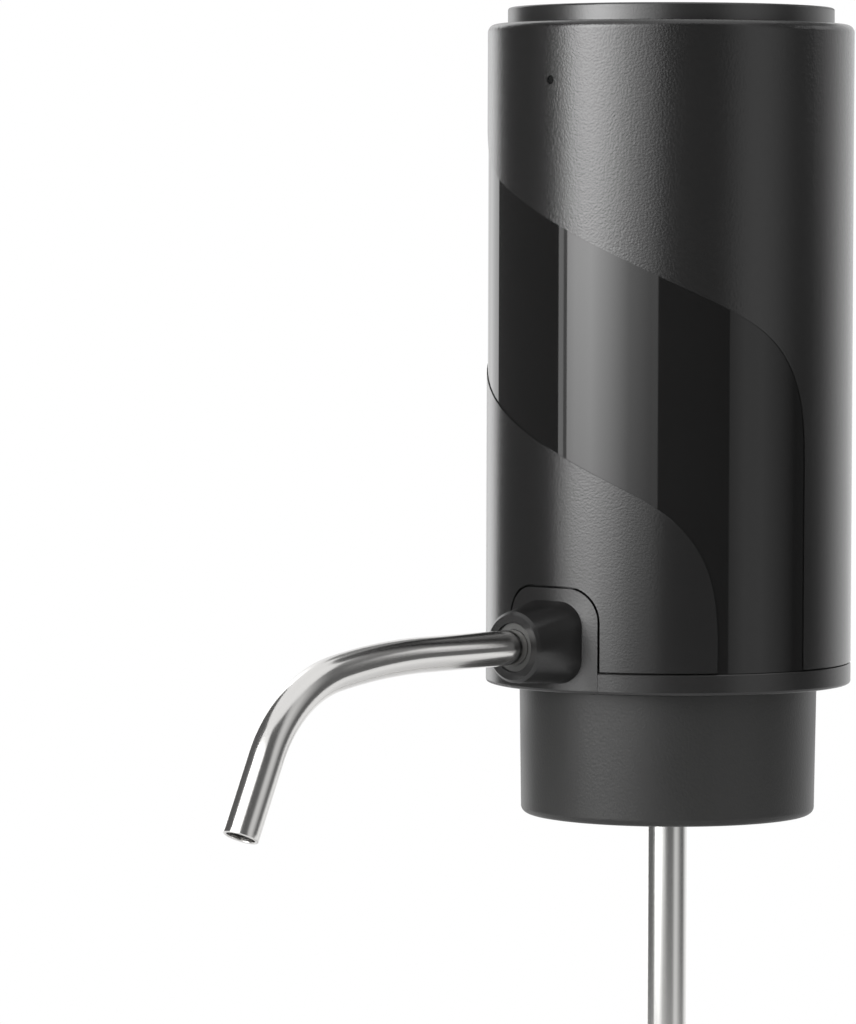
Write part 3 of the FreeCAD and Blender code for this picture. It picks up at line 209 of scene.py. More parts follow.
def turned(outline, steps=128):
    """Grid of a lathe piece: each outline point (r, z) goes round the axis at (r cos a, r sin a, z)."""
    angles = round_angles(steps)
    r, z = outline[:, :1] * MM, outline[:, 1:] * MM
    return np.stack([r * np.cos(angles), r * np.sin(angles), z + 0 * angles], axis=-1)


def box_in_mm(node):
    """Lowest and highest corner of a node at rest, in millimetres."""
    return [corner * 1000 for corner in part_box(node)]


# %% [markdown]
# Node helpers
#
# A finish is a small graph of nodes. These helpers add a node with its settings, plain values and links
# in one call, so that each finish below reads as a short list of what it is made of. Effects that several
# finishes share, such as grain or drawn lines, are node groups with named inputs and outputs.


# %% node helpers
def add_node(tree, kind, values=None, **settings):
    """New node, with its settings and the plain value or the link of each input socket."""
    node = tree.nodes.new(kind)
    for name, value in settings.items():
        setattr(node, name, value)
    for socket, value in (values or {}).items():
        if isinstance(value, bpy.types.NodeSocket):
            tree.links.new(value, node.inputs[socket])
        else:
            node.inputs[socket].default_value = value
    return node


def math_of(tree, operation, first, second=0.0):
    """Output of one Math node."""
    return add_node(tree, "ShaderNodeMath", {0: first, 1: second}, operation=operation).outputs[0]


def product_of(tree, first, *others):
    """Output of the Math nodes that multiply two or more values."""
    for other in others:
        first = math_of(tree, "MULTIPLY", first, other)
    return first


def vector_of(tree, operation, first, second=(0, 0, 0), output="Vector"):
    """Output of one Vector Math node."""
    node = add_node(tree, "ShaderNodeVectorMath", {0: first, 1: second}, operation=operation)
    return node.outputs[output]


def spread_of(tree, value, low, high, to_low, to_high):
    """Value carried from one range into another and held there."""
    return add_node(tree, "ShaderNodeMapRange", {
        "Value": value, "From Min": low, "From Max": high,
        "To Min": to_low, "To Max": to_high}).outputs["Result"]


def place_of(tree):
    """Place of the shaded point, in the object's own coordinates."""
    return add_node(tree, "ShaderNodeTexCoord").outputs["Object"]


def about_axis(tree):
    """Height of the shaded point, and the level vector (x, y, 0) that leads to it from the axis."""
    x, y, z = add_node(tree, "ShaderNodeSeparateXYZ", {0: place_of(tree)}).outputs
    return z, add_node(tree, "ShaderNodeCombineXYZ", {0: x, 1: y}).outputs[0]


# %% groups and finishes
def new_group(name, inputs, outputs):
    """Empty node group. Sockets are names with defaults, and a tuple as default makes a vector."""
    tree = bpy.data.node_groups.new(name, "ShaderNodeTree")
    for way, sockets in (("INPUT", inputs), ("OUTPUT", outputs)):
        for socket, default in sockets.items():
            kind = "NodeSocketVector" if isinstance(default, tuple) else "NodeSocketFloat"
            tree.interface.new_socket(socket, in_out=way, socket_type=kind).default_value = default
    return tree, tree.nodes.new("NodeGroupInput").outputs, tree.nodes.new("NodeGroupOutput").inputs


def use_group(tree, group, **values):
    """Outputs of a node group placed in a finish, with its values or links by input name."""
    return add_node(tree, "ShaderNodeGroup", values, node_tree=group).outputs


def new_finish(name, color, roughness, **sockets):
    """Material with one Principled surface. Its plain values are set on the surface's own sockets."""
    material = bpy.data.materials.new(name)
    material.use_nodes = True
    surface = material.node_tree.nodes["Principled BSDF"]
    surface.inputs["Base Color"].default_value = (*color, 1)
    surface.inputs["Roughness"].default_value = roughness
    for socket, value in sockets.items():
        surface.inputs[socket.replace("_", " ")].default_value = value
    finishes[name] = material
    return material.node_tree, surface


# %% [markdown]
# Grain
#
# The body is moulded and then sprayed with a matt paint. Close up, the paint is a fine sand of bumps three
# tenths of a millimetre across, which sparkle where the light strikes them. An image of grain would
# repeat. Noise doesn't, and the same group serves rubber, moulded plastic and wire sleeves with other
# values. Its second output is a slow drift from place to place, for the unevenness that handling leaves.

# %% grain group
BODY_GRAIN = 0.3 * MM
DRIFTS_PER_METRE = 60.0

grain_group, given, result = new_group("fine_grain", {"Size": BODY_GRAIN}, {"Height": 0.0, "Drift": 0.0})
place = place_of(grain_group)
density = math_of(grain_group, "DIVIDE", 1.0, given["Size"])
fine = add_node(grain_group, "ShaderNodeTexNoise", {"Vector": place, "Scale": density, "Detail": 0.6})
grain_group.links.new(fine.outputs["Fac"], result["Height"])
wide = add_node(grain_group, "ShaderNodeTexNoise", {
    "Vector": place, "Scale": DRIFTS_PER_METRE, "Detail": 4.0})
grain_group.links.new(wide.outputs["Fac"], result["Drift"])
print("grain group:", [socket.name for socket in result if socket.name])

# %% [markdown]
# Round walls
#
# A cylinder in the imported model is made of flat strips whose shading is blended, and where the strips
# begin and end a faint upright line shows in a long highlight. This group clears it: where a surface
# faces away from the axis, within some degrees, its normal becomes the true one, (x, y, 0) over its
# length. Two heights bound it, so that rounded edges keep the normal that they have.

# %% round wall group
round_group, given, result = new_group(
    "round_wall", {"Low": 0.0, "High": 1.0, "Closeness": 0.97}, {"Normal": (0.0, 0.0, 0.0)})
height, outward = about_axis(round_group)
radial = vector_of(round_group, "NORMALIZE", outward)
own = add_node(round_group, "ShaderNodeNewGeometry").outputs["Normal"]
facing = vector_of(round_group, "DOT_PRODUCT", own, radial, output="Value")
chosen = product_of(
    round_group,
    math_of(round_group, "GREATER_THAN", facing, given["Closeness"]),
    math_of(round_group, "GREATER_THAN", height, given["Low"]),
    math_of(round_group, "LESS_THAN", height, given["High"]),
)
blend = add_node(round_group, "ShaderNodeMix", {0: chosen, 4: own, 5: radial}, data_type="VECTOR")
round_group.links.new(blend.outputs[1], result["Normal"])
print("round wall group:", len(round_group.nodes), "nodes")

# %% [markdown]
# Moulded finishes
#
# Every moulded or sprayed piece takes its bumps, the drift of its gloss and the drift of its colour from
# the grain group. The whole range of a finish's roughness stays on one side of 0.27. The denoiser takes
# smoother surfaces for mirrors and rougher ones not, so where a finish crosses from one to the other, a
# wavy line shows in the picture.

# %% moulded finishes
PALEST = 1.25            # how much lighter than its colour a moulded piece is where the drift is highest


def noise_between(tree, noise, low, high):
    """Value between two limits by a noise, which seldom leaves the range from 0.3 to 0.7."""
    return spread_of(tree, noise, 0.3, 0.7, low, high)


def bump(tree, surface, height, depth, normal=None):
    """Bumps of a depth in metres on a finish, raised from its own normal or from one that is given."""
    node = add_node(tree, "ShaderNodeBump", {"Height": height, "Distance": depth})
    if normal:
        tree.links.new(normal, node.inputs["Normal"])
    tree.links.new(node.outputs["Normal"], surface.inputs["Normal"])


def tint(tree, surface, amount, color, shade):
    """Base colour that goes from the colour to a shade of it with the amount."""
    shaded = (*(c * shade for c in color), 1)
    mixed = add_node(tree, "ShaderNodeMix", {0: amount, 6: (*color, 1), 7: shaded}, data_type="RGBA")
    tree.links.new(mixed.outputs[2], surface.inputs["Base Color"])


def moulded(name, color, roughness, size, depth, drift=0.04, wall=None, **sockets):
    """Finish of a moulded or sprayed piece: grain of a size and depth in millimetres, and slow drift.

    wall gives the two heights in metres between which the piece is a plain cylinder round the axis.
    """
    tree, surface = new_finish(name, color, roughness, **sockets)
    grain = use_group(tree, grain_group, Size=size * MM)
    normal = use_group(tree, round_group, Low=wall[0], High=wall[1])["Normal"] if wall else None
    bump(tree, surface, grain["Height"], depth * MM, normal)
    uneven = noise_between(tree, grain["Drift"], roughness - drift, roughness + drift)
    tree.links.new(uneven, surface.inputs["Roughness"])
    tint(tree, surface, grain["Drift"], color, PALEST)


# %% [markdown]
# The body
#
# The shell has two finishes on one moulding. Most of it is matt, and a band that sweeps round it like an S
# was masked before spraying, so it stays as polished as the tool and lies a paint's thickness lower. The
# shell's solid has that step, so the finish finds the band by its distance from the axis: what lies
# between the band's bed and the painted skin is polished. A painted mask could miss the step by a little,
# and this can't. The spray came from above, so the paint is thinner and smoother towards the foot. Its
# soft sheen is a weak coat, which the polished band does without.

# %% body finish
SHELL_FOOT, SHELL_TOP = (corner.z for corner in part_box("outer_shell"))
SHELL_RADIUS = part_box("outer_shell")[1].x
BAND_DEPTH = 0.15 * MM
SHOULDER = 1.3 * MM
SEAM_EDGE = 0.4 * MM
BODY_BLACK = (0.0055, 0.0054, 0.0053)
COAT_ROUGHNESS = 0.26
PAINT_THIN, PAINT_FULL = 15 * MM, 75 * MM    # heights between which the paint gets thicker
PAINT_ROUGHNESS = (0.255, 0.27)
POLISH_ROUGHNESS = (0.03, 0.06)
PAINT_SHEEN = 0.5
GRAIN_DEPTH = 0.04 * MM
THIN_ROUGHNESS, THIN_SHEEN, THIN_GRAIN = 0.8, 0.55, 0.3    # shares of the full paint's, at the foot

tree, surface = new_finish("shell_matt", BODY_BLACK, COAT_ROUGHNESS, Coat_Roughness=COAT_ROUGHNESS)
height, outward = about_axis(tree)
away = vector_of(tree, "LENGTH", outward, output="Value")
polished = product_of(
    tree,
    math_of(tree, "LESS_THAN", away, SHELL_RADIUS - BAND_DEPTH / 2),
    math_of(tree, "GREATER_THAN", away, SHELL_RADIUS - BAND_DEPTH * 1.5),
    math_of(tree, "LESS_THAN", height, SHELL_TOP - SHOULDER),
)
painted = math_of(tree, "SUBTRACT", 1.0, polished)


def by_thickness(share):
    """Value that grows with the paint's thickness from a share at the foot to the whole."""
    return spread_of(tree, height, PAINT_THIN, PAINT_FULL, share, 1.0)


# %% gloss and grain of the body
grain = use_group(tree, grain_group, Size=BODY_GRAIN)
matt = product_of(tree, noise_between(tree, grain["Drift"], *PAINT_ROUGHNESS), by_thickness(THIN_ROUGHNESS))
gloss = noise_between(tree, grain["Drift"], *POLISH_ROUGHNESS)
roughness = add_node(tree, "ShaderNodeMix", {0: polished, 2: matt, 3: gloss}).outputs[0]
tree.links.new(roughness, surface.inputs["Roughness"])
sheen = product_of(tree, painted, by_thickness(THIN_SHEEN), PAINT_SHEEN)
tree.links.new(sheen, surface.inputs["Coat Weight"])
relief = product_of(tree, grain["Height"], painted, by_thickness(THIN_GRAIN))
normal = use_group(tree, round_group, Low=SHELL_FOOT + SEAM_EDGE, High=SHELL_TOP - SHOULDER)["Normal"]
bump(tree, surface, relief, GRAIN_DEPTH, normal)
tint(tree, surface, grain["Drift"], BODY_BLACK, PALEST)
print("shell radius", round(SHELL_RADIUS / MM, 2), "mm, top", round(SHELL_TOP / MM, 2), "mm")

# %% [markdown]
# Beside the body
#
# The disc on top and the base ring are bare mouldings, with a shallower grain than the paint. A higher
# index of refraction makes a piece mirror more at the same roughness, and each of the two has its own.
# Silicone is duller, with a coarser grain.

# %% disc, ring and silicone
DISC_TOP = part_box("top_button")[1].z
DISC_EDGE = 0.5 * MM
DISC_WALL = (SHELL_TOP - SHOULDER, DISC_TOP - DISC_EDGE)
RING_WALL = (SHELL_FOOT - 2.5 * MM, SHELL_FOOT - 0.3 * MM)    # between its lower edge and the seam

moulded("button_matt", (0.0080, 0.0078, 0.0078), 0.31, 0.3, 0.01, drift=0.02, wall=DISC_WALL, IOR=1.75)
moulded("base_matt", (0.0080, 0.0078, 0.0077), 0.25, 0.3, 0.012, drift=0.015, wall=RING_WALL, IOR=1.55)
moulded("collar_silicone", (0.0115, 0.0115, 0.0110), 0.42, 0.4, 0.02)
moulded("silicone", (0.045, 0.045, 0.043), 0.5, 0.4, 0.02)
moulded("hose_silicone", (0.55, 0.56, 0.54), 0.35, 0.5, 0.03, Transmission_Weight=0.3)
print("finishes so far:", sorted(finishes))

# %% [markdown]
# Drawn steel
#
# The spout is bent from drawn stainless tube and polished lengthwise. It mirrors its surroundings, blurred
# a little, and fine lines run along it. Lines need a direction, so the group stretches its noise along
# one axis of whatever coordinates it is given: the spout's own UV map, which follows its bends, or plain
# object coordinates on the straight tubes.

# %% drawn line group
LINES_PER_METRE = 9000.0
BREAKS_PER_METRE = 40.0
STREAK_SCALE = 0.12

line_group, given, result = new_group(
    "drawn_lines",
    {"Place": (0.0, 0.0, 0.0), "Across": LINES_PER_METRE, "Along": BREAKS_PER_METRE},
    {"Height": 0.0, "Streak": 0.0},
)
stretch = add_node(line_group, "ShaderNodeCombineXYZ", {
    0: given["Across"], 1: given["Across"], 2: given["Along"]}).outputs[0]
scaled = vector_of(line_group, "MULTIPLY", given["Place"], stretch)
fine = add_node(line_group, "ShaderNodeTexNoise", {"Vector": scaled, "Scale": 1.0, "Detail": 3.0})
line_group.links.new(fine.outputs["Fac"], result["Height"])
wide = add_node(line_group, "ShaderNodeTexNoise", {"Vector": scaled, "Scale": STREAK_SCALE, "Detail": 2.0})
line_group.links.new(wide.outputs["Fac"], result["Streak"])

# %% drawn finishes
STREAK_GLOSS = 0.05      # how far the roughness goes either way from streak to streak
STREAK_SHADE = 0.85


def drawn(name, color, roughness, depth, uv=False):
    """Finish of drawn or ground metal, with lines of a depth in millimetres along Z or the UV map's V."""
    tree, surface = new_finish(name, color, roughness, Metallic=1.0)
    if uv:
        spot = add_node(tree, "ShaderNodeUVMap", uv_map="surface").outputs[0]
        across, along, _ = add_node(tree, "ShaderNodeSeparateXYZ", {0: spot}).outputs
        place = add_node(tree, "ShaderNodeCombineXYZ", {0: across, 2: along}).outputs[0]
    else:
        place = place_of(tree)
    lines = use_group(tree, line_group, Place=place)
    bump(tree, surface, lines["Height"], depth * MM)
    uneven = noise_between(tree, lines["Streak"], roughness - STREAK_GLOSS, roughness + STREAK_GLOSS)
    tree.links.new(uneven, surface.inputs["Roughness"])
    tint(tree, surface, lines["Streak"], color, STREAK_SHADE)


drawn("spout_steel", (0.78, 0.77, 0.755), 0.17, 0.0012, uv=True)
drawn("dip_steel", (0.74, 0.735, 0.72), 0.2, 0.001)
print("finishes so far:", len(finishes))

# %% [markdown]
# The spout
#
# A straight run leaves the boss, the tube then sags on a long radius, bends down sharply and ends in a
# short straight run. A curve object with a round bevel could follow that, but its ends would be open or
# flat. Here the heading is a function of the distance along the tube, the place is the running sum of
# the heading's cosine and sine, and the wall goes out along the tube, round a smooth lip and back inside.

# %% the spout's sizes, in millimetres
SPOUT_START = 22.0       # behind here the tube ends, inside the housing
SPOUT_HEIGHT = 11.85
SPOUT_RADIUS = 2.6
SPOUT_WALL = 0.5
SPOUT_STRAIGHT = 32.0
SAG_RADIUS, SAG_TURN = 110.0, math.radians(10)
BEND_RADIUS, BEND_TURN = 19.3, math.radians(55)
SPOUT_END = 12.1
LIP_ROUNDING = 0.18
LIP_POINTS = 7
RING_SPACING = 0.7
SPOUT_SIDES = 64
PATH_STEPS = 4000

knots = np.cumsum([0, SPOUT_STRAIGHT, SAG_RADIUS * SAG_TURN, BEND_RADIUS * BEND_TURN, SPOUT_END])
headings = np.array([0, 0, SAG_TURN, SAG_TURN + BEND_TURN, SAG_TURN + BEND_TURN])
spout_length = knots[-1]
print("spout length", round(spout_length, 1), "mm")


# %% the spout's line and wall
def spout_line(distance):
    """Place (y, z) and heading at distances along the spout, in millimetres and radians below level.

    The heading is zero, then grows by distance over radius in each bend, then stays. Summing the cosine
    and sine of the heading over many even steps, from their middles, gives the place.
    """
    ends = np.linspace(0, spout_length, PATH_STEPS + 1)
    middle = np.interp((ends[1:] + ends[:-1]) / 2, knots, headings)
    step = ends[1]
    out = np.concatenate([[0], np.cumsum(np.cos(middle) * step)])
    down = np.concatenate([[0], np.cumsum(np.sin(middle) * step)])
    y = -SPOUT_START - np.interp(distance, ends, out)
    z = SPOUT_HEIGHT - np.interp(distance, ends, down)
    return y, z, np.interp(distance, knots, headings)


def tube_outline(length, radius, wall, lip, spacing):
    """Distance along and radius of a tube's wall: out along the skin, round the lip and back inside.

    The lip is two quarter circles of its rounding, one from the skin and one into the bore.
    """
    skin = np.linspace(0, length - lip, int(length / spacing))
    quarter = np.linspace(0, math.pi / 2, LIP_POINTS)
    reach, drop = lip * np.sin(quarter), lip * np.cos(quarter)
    along = [skin, length - lip + reach, length - lip + drop, skin[::-1]]
    away = [np.full_like(skin, radius), radius - lip + drop,
            radius - wall + lip - reach, np.full_like(skin, radius - wall)]
    return np.concatenate(along), np.concatenate(away)


# %% spout
along, away = tube_outline(spout_length, SPOUT_RADIUS, SPOUT_WALL, LIP_ROUNDING, RING_SPACING)
y, z, heading = (part[:, None] for part in spout_line(along))
angles = round_angles(SPOUT_SIDES)
sideways = away[:, None] * np.cos(angles)
lift = away[:, None] * np.sin(angles)
spout_points = np.stack([sideways, y - lift * np.sin(heading), z + lift * np.cos(heading)], axis=-1) * MM
spout_u = SPOUT_RADIUS * angles + 0 * along[:, None]
spout_v = along[:, None] + 0 * angles
spout_uv = np.stack([spout_u, spout_v], axis=-1) * MM
grid_piece("spout_pipe", spout_points, "spout", "spout_steel", "spout_tube", spout_uv)

# %% [markdown]
# The collar
#
# A soft sleeve hangs below the body and hides the joint. It is thick, slightly narrower at its foot, with
# a full round edge there, as a rubber part has where two halves of its mould meet. Turned on a lathe, its
# outline only needs corners and their roundings, and the frame gives its place.

# %% collar
COLLAR_WALL = 2.5
COLLAR_DRAW = 0.3        # how much narrower the foot is
COLLAR_EDGE = 1.1
BORE_EDGE = 0.6
low, high = box_in_mm("neck_collar")
collar = rounded([
    (high.x - COLLAR_WALL, high.z, 0),
    (high.x - COLLAR_WALL, low.z, BORE_EDGE),
    (high.x - COLLAR_DRAW, low.z, COLLAR_EDGE),
    (high.x, high.z, 0),
], steps=12)
grid_piece("soft_collar", turned(collar, 160), "housing", "collar_silicone", "neck_collar")

# %% [markdown]
# The stopper
#
# A silicone plug closes what the dispenser is pushed into. Soft beads with narrow grooves between them run
# round its land. The land's radius is the plug's, less a depth times the sixth power of a raised cosine,
# which is near zero except close to each groove, so the beads are as soft as they are in rubber.

# %% stopper
STOPPER_BORE = 6.85
STOPPER_RADIUS = 9.2
STOPPER_TIP = 8.2
LAND_LENGTH = 12.0
BEADS = 4
GROOVE_DEPTH = 0.5
GROOVE_POWER = 6
FLANGE_EDGE = 0.3
low, high = box_in_mm("neck_stopper")
land = np.linspace(-LAND_LENGTH, 0, 97)
groove = (0.5 - 0.5 * np.cos(math.tau * BEADS * land / LAND_LENGTH + math.pi)) ** GROOVE_POWER
stopper = np.concatenate([
    rounded([
        (high.x, 0, FLANGE_EDGE),
        (high.x, high.z, FLANGE_EDGE),
        (STOPPER_BORE, high.z, 0),
        (STOPPER_BORE, low.z, 0.2),
        (STOPPER_TIP, low.z, 0.7),
        (STOPPER_RADIUS, -LAND_LENGTH, 0),
    ]),
    np.stack([STOPPER_RADIUS - GROOVE_DEPTH * groove, land], axis=1),
])
grid_piece("stopper_plug", turned(stopper), "housing", "silicone", "neck_stopper")

# %% [markdown]
# The dip tubes
#
# Two steel tubes hang from the stopper, and the lower one slides in the upper. A tube is one outline
# turned round the axis: skin, lip, bore and lip again. The lower tube has a bead at its top, which the
# gland stops, and a soft foot whose two crossing notches let liquid in when it stands on a floor. The
# notches are cut by a formula: the foot's lower edge rises where the angle lies near one of four
# directions.

# %% upper tube
TUBE_LIP = 0.12
DIP_WALL = 0.35
TUBE_SIDES = 96
low, high = box_in_mm("dip_tube_upper")
upper = rounded([
    (high.x, low.z, TUBE_LIP),
    (high.x, high.z, TUBE_LIP),
    (high.x - DIP_WALL, high.z, TUBE_LIP),
    (high.x - DIP_WALL, low.z, TUBE_LIP),
])
grid_piece("fixed_tube", turned(upper, TUBE_SIDES), "housing", "dip_steel", "dip_tube_upper")

# %% lower tube
SLIDING_RADIUS = 2.0
SLIDING_BORE = SLIDING_RADIUS - DIP_WALL
BEAD_HEIGHT = 1.2
low, high = box_in_mm("dip_tube_lower")
lower = rounded([
    (SLIDING_BORE, low.z, TUBE_LIP),
    (SLIDING_RADIUS, low.z, TUBE_LIP),
    (SLIDING_RADIUS, high.z - BEAD_HEIGHT, 0.1),
    (high.x, high.z - BEAD_HEIGHT, 0.2),
    (high.x, high.z, 0.3),
    (SLIDING_BORE, high.z, 0.1),
])
grid_piece("sliding_tube", turned(lower, TUBE_SIDES), "sliding_tube", "dip_steel", "dip_tube_lower")

# %% foot
FOOT_SEAT = 1.9          # the tube ends this far above the foot's lower edge
FOOT_GAP = 0.05
FOOT_SIDES = 144
NOTCH_WIDTH, NOTCH_DEPTH = 1.6, 1.2
NOTCH_SLOPE = 0.3        # share of a notch's half width that its side takes
NOTCH_FULL, NOTCH_GONE = 1.4, 0.1    # distances below the seat between which a notch fades out
NOTCHES = 4


def notch_rise(angles, radius, below_seat):
    """How far points of the foot rise into the notches, in millimetres.

    Half a notch's width over the radius is its half width as an angle. The rise is full up to that angle
    less half the slope, and nothing past it by half the slope. It also fades out towards the seat.
    """
    half_width = NOTCH_WIDTH / 2 / radius
    apart = math.tau / NOTCHES
    off_notch = np.abs((angles + apart / 2) % apart - apart / 2)
    inside = np.clip((half_width * (1 + NOTCH_SLOPE / 2) - off_notch) / (half_width * NOTCH_SLOPE), 0, 1)
    fade = np.clip((below_seat - NOTCH_GONE) / (NOTCH_FULL - NOTCH_GONE), 0, 1)
    return NOTCH_DEPTH * inside * fade


low, high = box_in_mm("dip_tube_foot")
seat = low.z + FOOT_SEAT
foot = rounded([
    (SLIDING_RADIUS + FOOT_GAP, high.z, 0),
    (SLIDING_RADIUS + FOOT_GAP, seat, 0),
    (SLIDING_BORE, seat, 0),
    (SLIDING_BORE, low.z, 0.2),
    (high.x, low.z, 0.5),
    (high.x, high.z, 0.8),
], steps=6)
foot_points = turned(foot, FOOT_SIDES)
rise = notch_rise(round_angles(FOOT_SIDES), foot[:, :1], seat - foot[:, 1:])
foot_points[..., 2] += rise * MM
grid_piece("soft_foot", foot_points, "sliding_tube", "silicone", "dip_tube_foot")

# %% [markdown]
# What is inside
#
# The shell hides these pieces, but whoever opens the part finds each with its own finish. Moulded pieces
# differ in colour, gloss and grain. Metal ones differ in how they were made: ground, drawn, stamped or
# plated. All of them come from the two functions above, so they are one table each. A row holds the
# colour, the roughness, and the size and depth of the grain, or the depth of the lines, in millimetres.

# %% moulded pieces
MOULDED = {
    "inner_plastic": ((0.045, 0.045, 0.047), 0.45, 0.5, 0.03),
    "pump_plastic": ((0.62, 0.61, 0.57), 0.42, 0.4, 0.02),
    "valve_plastic": ((0.70, 0.70, 0.66), 0.33, 0.4, 0.01),
    "switch_body": ((0.02, 0.02, 0.02), 0.4, 0.2, 0.02),
    "switch_stem": ((0.55, 0.10, 0.05), 0.4, 0.2, 0.01),
    "chip_black": ((0.016, 0.016, 0.017), 0.5, 0.12, 0.015),
    "magnet": ((0.05, 0.048, 0.046), 0.6, 0.08, 0.02),
    "lead_red": ((0.45, 0.015, 0.012), 0.38, 0.5, 0.01),
    "lead_white": ((0.70, 0.69, 0.66), 0.38, 0.5, 0.01),
    # the light pipe is clear, but near black here: painted shade, so that the pinhole it fills reads dark
    "clear_pipe": ((0.0015, 0.0015, 0.0015), 0.18, 0.2, 0.004),
}
for name, values in MOULDED.items():
    moulded(name, *values)
moulded("led_lens", (0.85, 0.80, 0.55), 0.22, 0.3, 0.005, Transmission_Weight=0.4)
print("moulded:", sorted(MOULDED))

# %% metal pieces
METALS = {
    "spring_steel": ((0.60, 0.59, 0.57), 0.2, 0.001),
    "screw_steel": ((0.55, 0.55, 0.54), 0.21, 0.0015),
    "motor_steel": ((0.58, 0.58, 0.57), 0.34, 0.002),
    "port_steel": ((0.62, 0.62, 0.61), 0.2, 0.001),
    "nickel": ((0.66, 0.63, 0.58), 0.19, 0.001),
    "contact_brass": ((0.72, 0.52, 0.22), 0.21, 0.0015),
}
for name, values in METALS.items():
    drawn(name, *values)
print("metals:", sorted(METALS))

# %% [markdown]
# Four finishes need more than grain or lines. The armature is a stack of thin steel sheets, so it has fine
# rings. The boards have copper traces under green lacquer. The foam pad has open cells, and the cell's
# shrink wrap has faint creases round it.

# %% stacked sheets
SHEET_THICKNESS = 0.5 * MM
SHEET_GAP = 0.18         # share of a sheet's thickness that the dark gap takes
GAP_BROWN = (0.14, 0.13, 0.12)
tree, surface = new_finish("armature_steel", (0.42, 0.41, 0.40), 0.4, Metallic=1.0)
height = add_node(tree, "ShaderNodeSeparateXYZ", {0: place_of(tree)}).outputs[2]
stack = math_of(tree, "FRACT", math_of(tree, "DIVIDE", height, SHEET_THICKNESS))
edge = spread_of(tree, stack, 0.0, SHEET_GAP, 0.0, 1.0)
bump(tree, surface, edge, 0.05 * MM)
tint(tree, surface, edge, GAP_BROWN, 3.0)
print("armature sheets", round(SHEET_THICKNESS / MM, 2), "mm thick")

# %% circuit board
TRACE_PITCH = 0.78 * MM
TRACES = 5.0             # traces one within another round each centre
LACQUER_GREEN = (0.012, 0.10, 0.045)
tree, surface = new_finish("circuit_board", LACQUER_GREEN, 0.3, Coat_Weight=0.4)
centres = add_node(tree, "ShaderNodeTexVoronoi", {
    "Vector": place_of(tree), "Scale": 1 / (TRACES * TRACE_PITCH), "Randomness": 1.0},
    feature="F1", distance="CHEBYCHEV")
rings = math_of(tree, "FRACT", product_of(tree, centres.outputs["Distance"], TRACES))
copper = spread_of(tree, rings, 0.42, 0.5, 0.0, 1.0)
bump(tree, surface, copper, 0.03 * MM)
tint(tree, surface, copper, LACQUER_GREEN, 1.9)
print("copper traces", round(TRACE_PITCH / MM, 2), "mm apart")

# %% foam and wrap
FOAM_CELL = 0.4 * MM
tree, surface = new_finish("foam", (0.03, 0.03, 0.032), 0.9, Sheen_Weight=0.3)
cells = add_node(tree, "ShaderNodeTexVoronoi", {
    "Vector": place_of(tree), "Scale": 1 / FOAM_CELL}, feature="DISTANCE_TO_EDGE").outputs["Distance"]
bump(tree, surface, cells, 0.15 * MM)
tint(tree, surface, cells, (0.02, 0.02, 0.022), 2.5)

tree, surface = new_finish("cell_wrap", (0.02, 0.11, 0.30), 0.25, Coat_Weight=0.3)
creases = add_node(tree, "ShaderNodeTexNoise", {
    "Vector": place_of(tree), "Scale": 90.0, "Detail": 5.0, "Distortion": 1.5}).outputs["Fac"]
bump(tree, surface, creases, 0.12 * MM)
tint(tree, surface, creases, (0.02, 0.10, 0.28), 1.4)
print("foam cells", round(FOAM_CELL / MM, 2), "mm across")

# %% give every node its finish
for name, node in frame["nodes"].items():
    node.data.materials.clear()
    node.data.materials.append(finishes[slots[name]])
print("finishes:", len(finishes), "slots used:", len(set(slots.values())))

# %% [markdown]
# Surroundings and floor
#
# Dark, glossy things are drawn by what they mirror. This one stands in white surroundings over a pale
# floor. The surroundings are plain white where they are seen, straight on or in a mirror, and dimmer where
# they light the object, because the soft light further down adds to them. The floor lies just below the
# foot at its lowest, and fades into the white around it.

# %% surroundings
EVEN_LIGHT = 0.42
world = bpy.data.worlds.new("surroundings")
scene.world = world
world.use_nodes = True
tree = world.node_tree
sky = tree.nodes["Background"]
sky.inputs["Color"].default_value = (1, 1, 1, 1)
rays = add_node(tree, "ShaderNodeLightPath").outputs
mirrored = math_of(tree, "MAXIMUM", rays["Is Glossy Ray"], rays["Is Transmission Ray"])
shown = math_of(tree, "MAXIMUM", mirrored, rays["Is Camera Ray"])
tree.links.new(spread_of(tree, shown, 0, 1, EVEN_LIGHT, 1.0), sky.inputs["Strength"])
print("surroundings light the object at", EVEN_LIGHT)

# %% floor
reach_down = [joint for joint in frame["joints"] if joint["name"] == "dip_tube_extend"][0]["range_m"][1]
FLOOR_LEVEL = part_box("dip_tube_foot")[0].z - reach_down - 1 * MM
FLOOR_HALF = 3.0
FADE_START, FADE_END = 0.15, 0.7     # distances from the axis
FLOOR_GREY = (0.88, 0.88, 0.88)

floor_mesh = bpy.data.meshes.new("floor")
square = ((-1, -1), (1, -1), (1, 1), (-1, 1))
corners = [(x * FLOOR_HALF, y * FLOOR_HALF, FLOOR_LEVEL) for x, y in square]
floor_mesh.from_pydata(corners, [], [(0, 1, 2, 3)])
floor = bpy.data.objects.new("floor", floor_mesh)
scene.collection.objects.link(floor)
tree, surface = new_finish("floor_paint", FLOOR_GREY, 0.7)
floor_mesh.materials.append(finishes["floor_paint"])
_, outward = about_axis(tree)
reach = vector_of(tree, "LENGTH", outward, output="Value")
rays = add_node(tree, "ShaderNodeLightPath").outputs
shown = math_of(tree, "MAXIMUM", rays["Is Glossy Ray"], rays["Is Camera Ray"])
fade = product_of(tree, spread_of(tree, reach, FADE_START, FADE_END, 0, 1), shown)
white = add_node(tree, "ShaderNodeEmission", {"Color": (1, 1, 1, 1), "Strength": 1.0})
mixed = add_node(tree, "ShaderNodeMixShader", {0: fade, 1: surface.outputs[0], 2: white.outputs[0]})
tree.links.new(mixed.outputs[0], tree.nodes["Material Output"].inputs["Surface"])
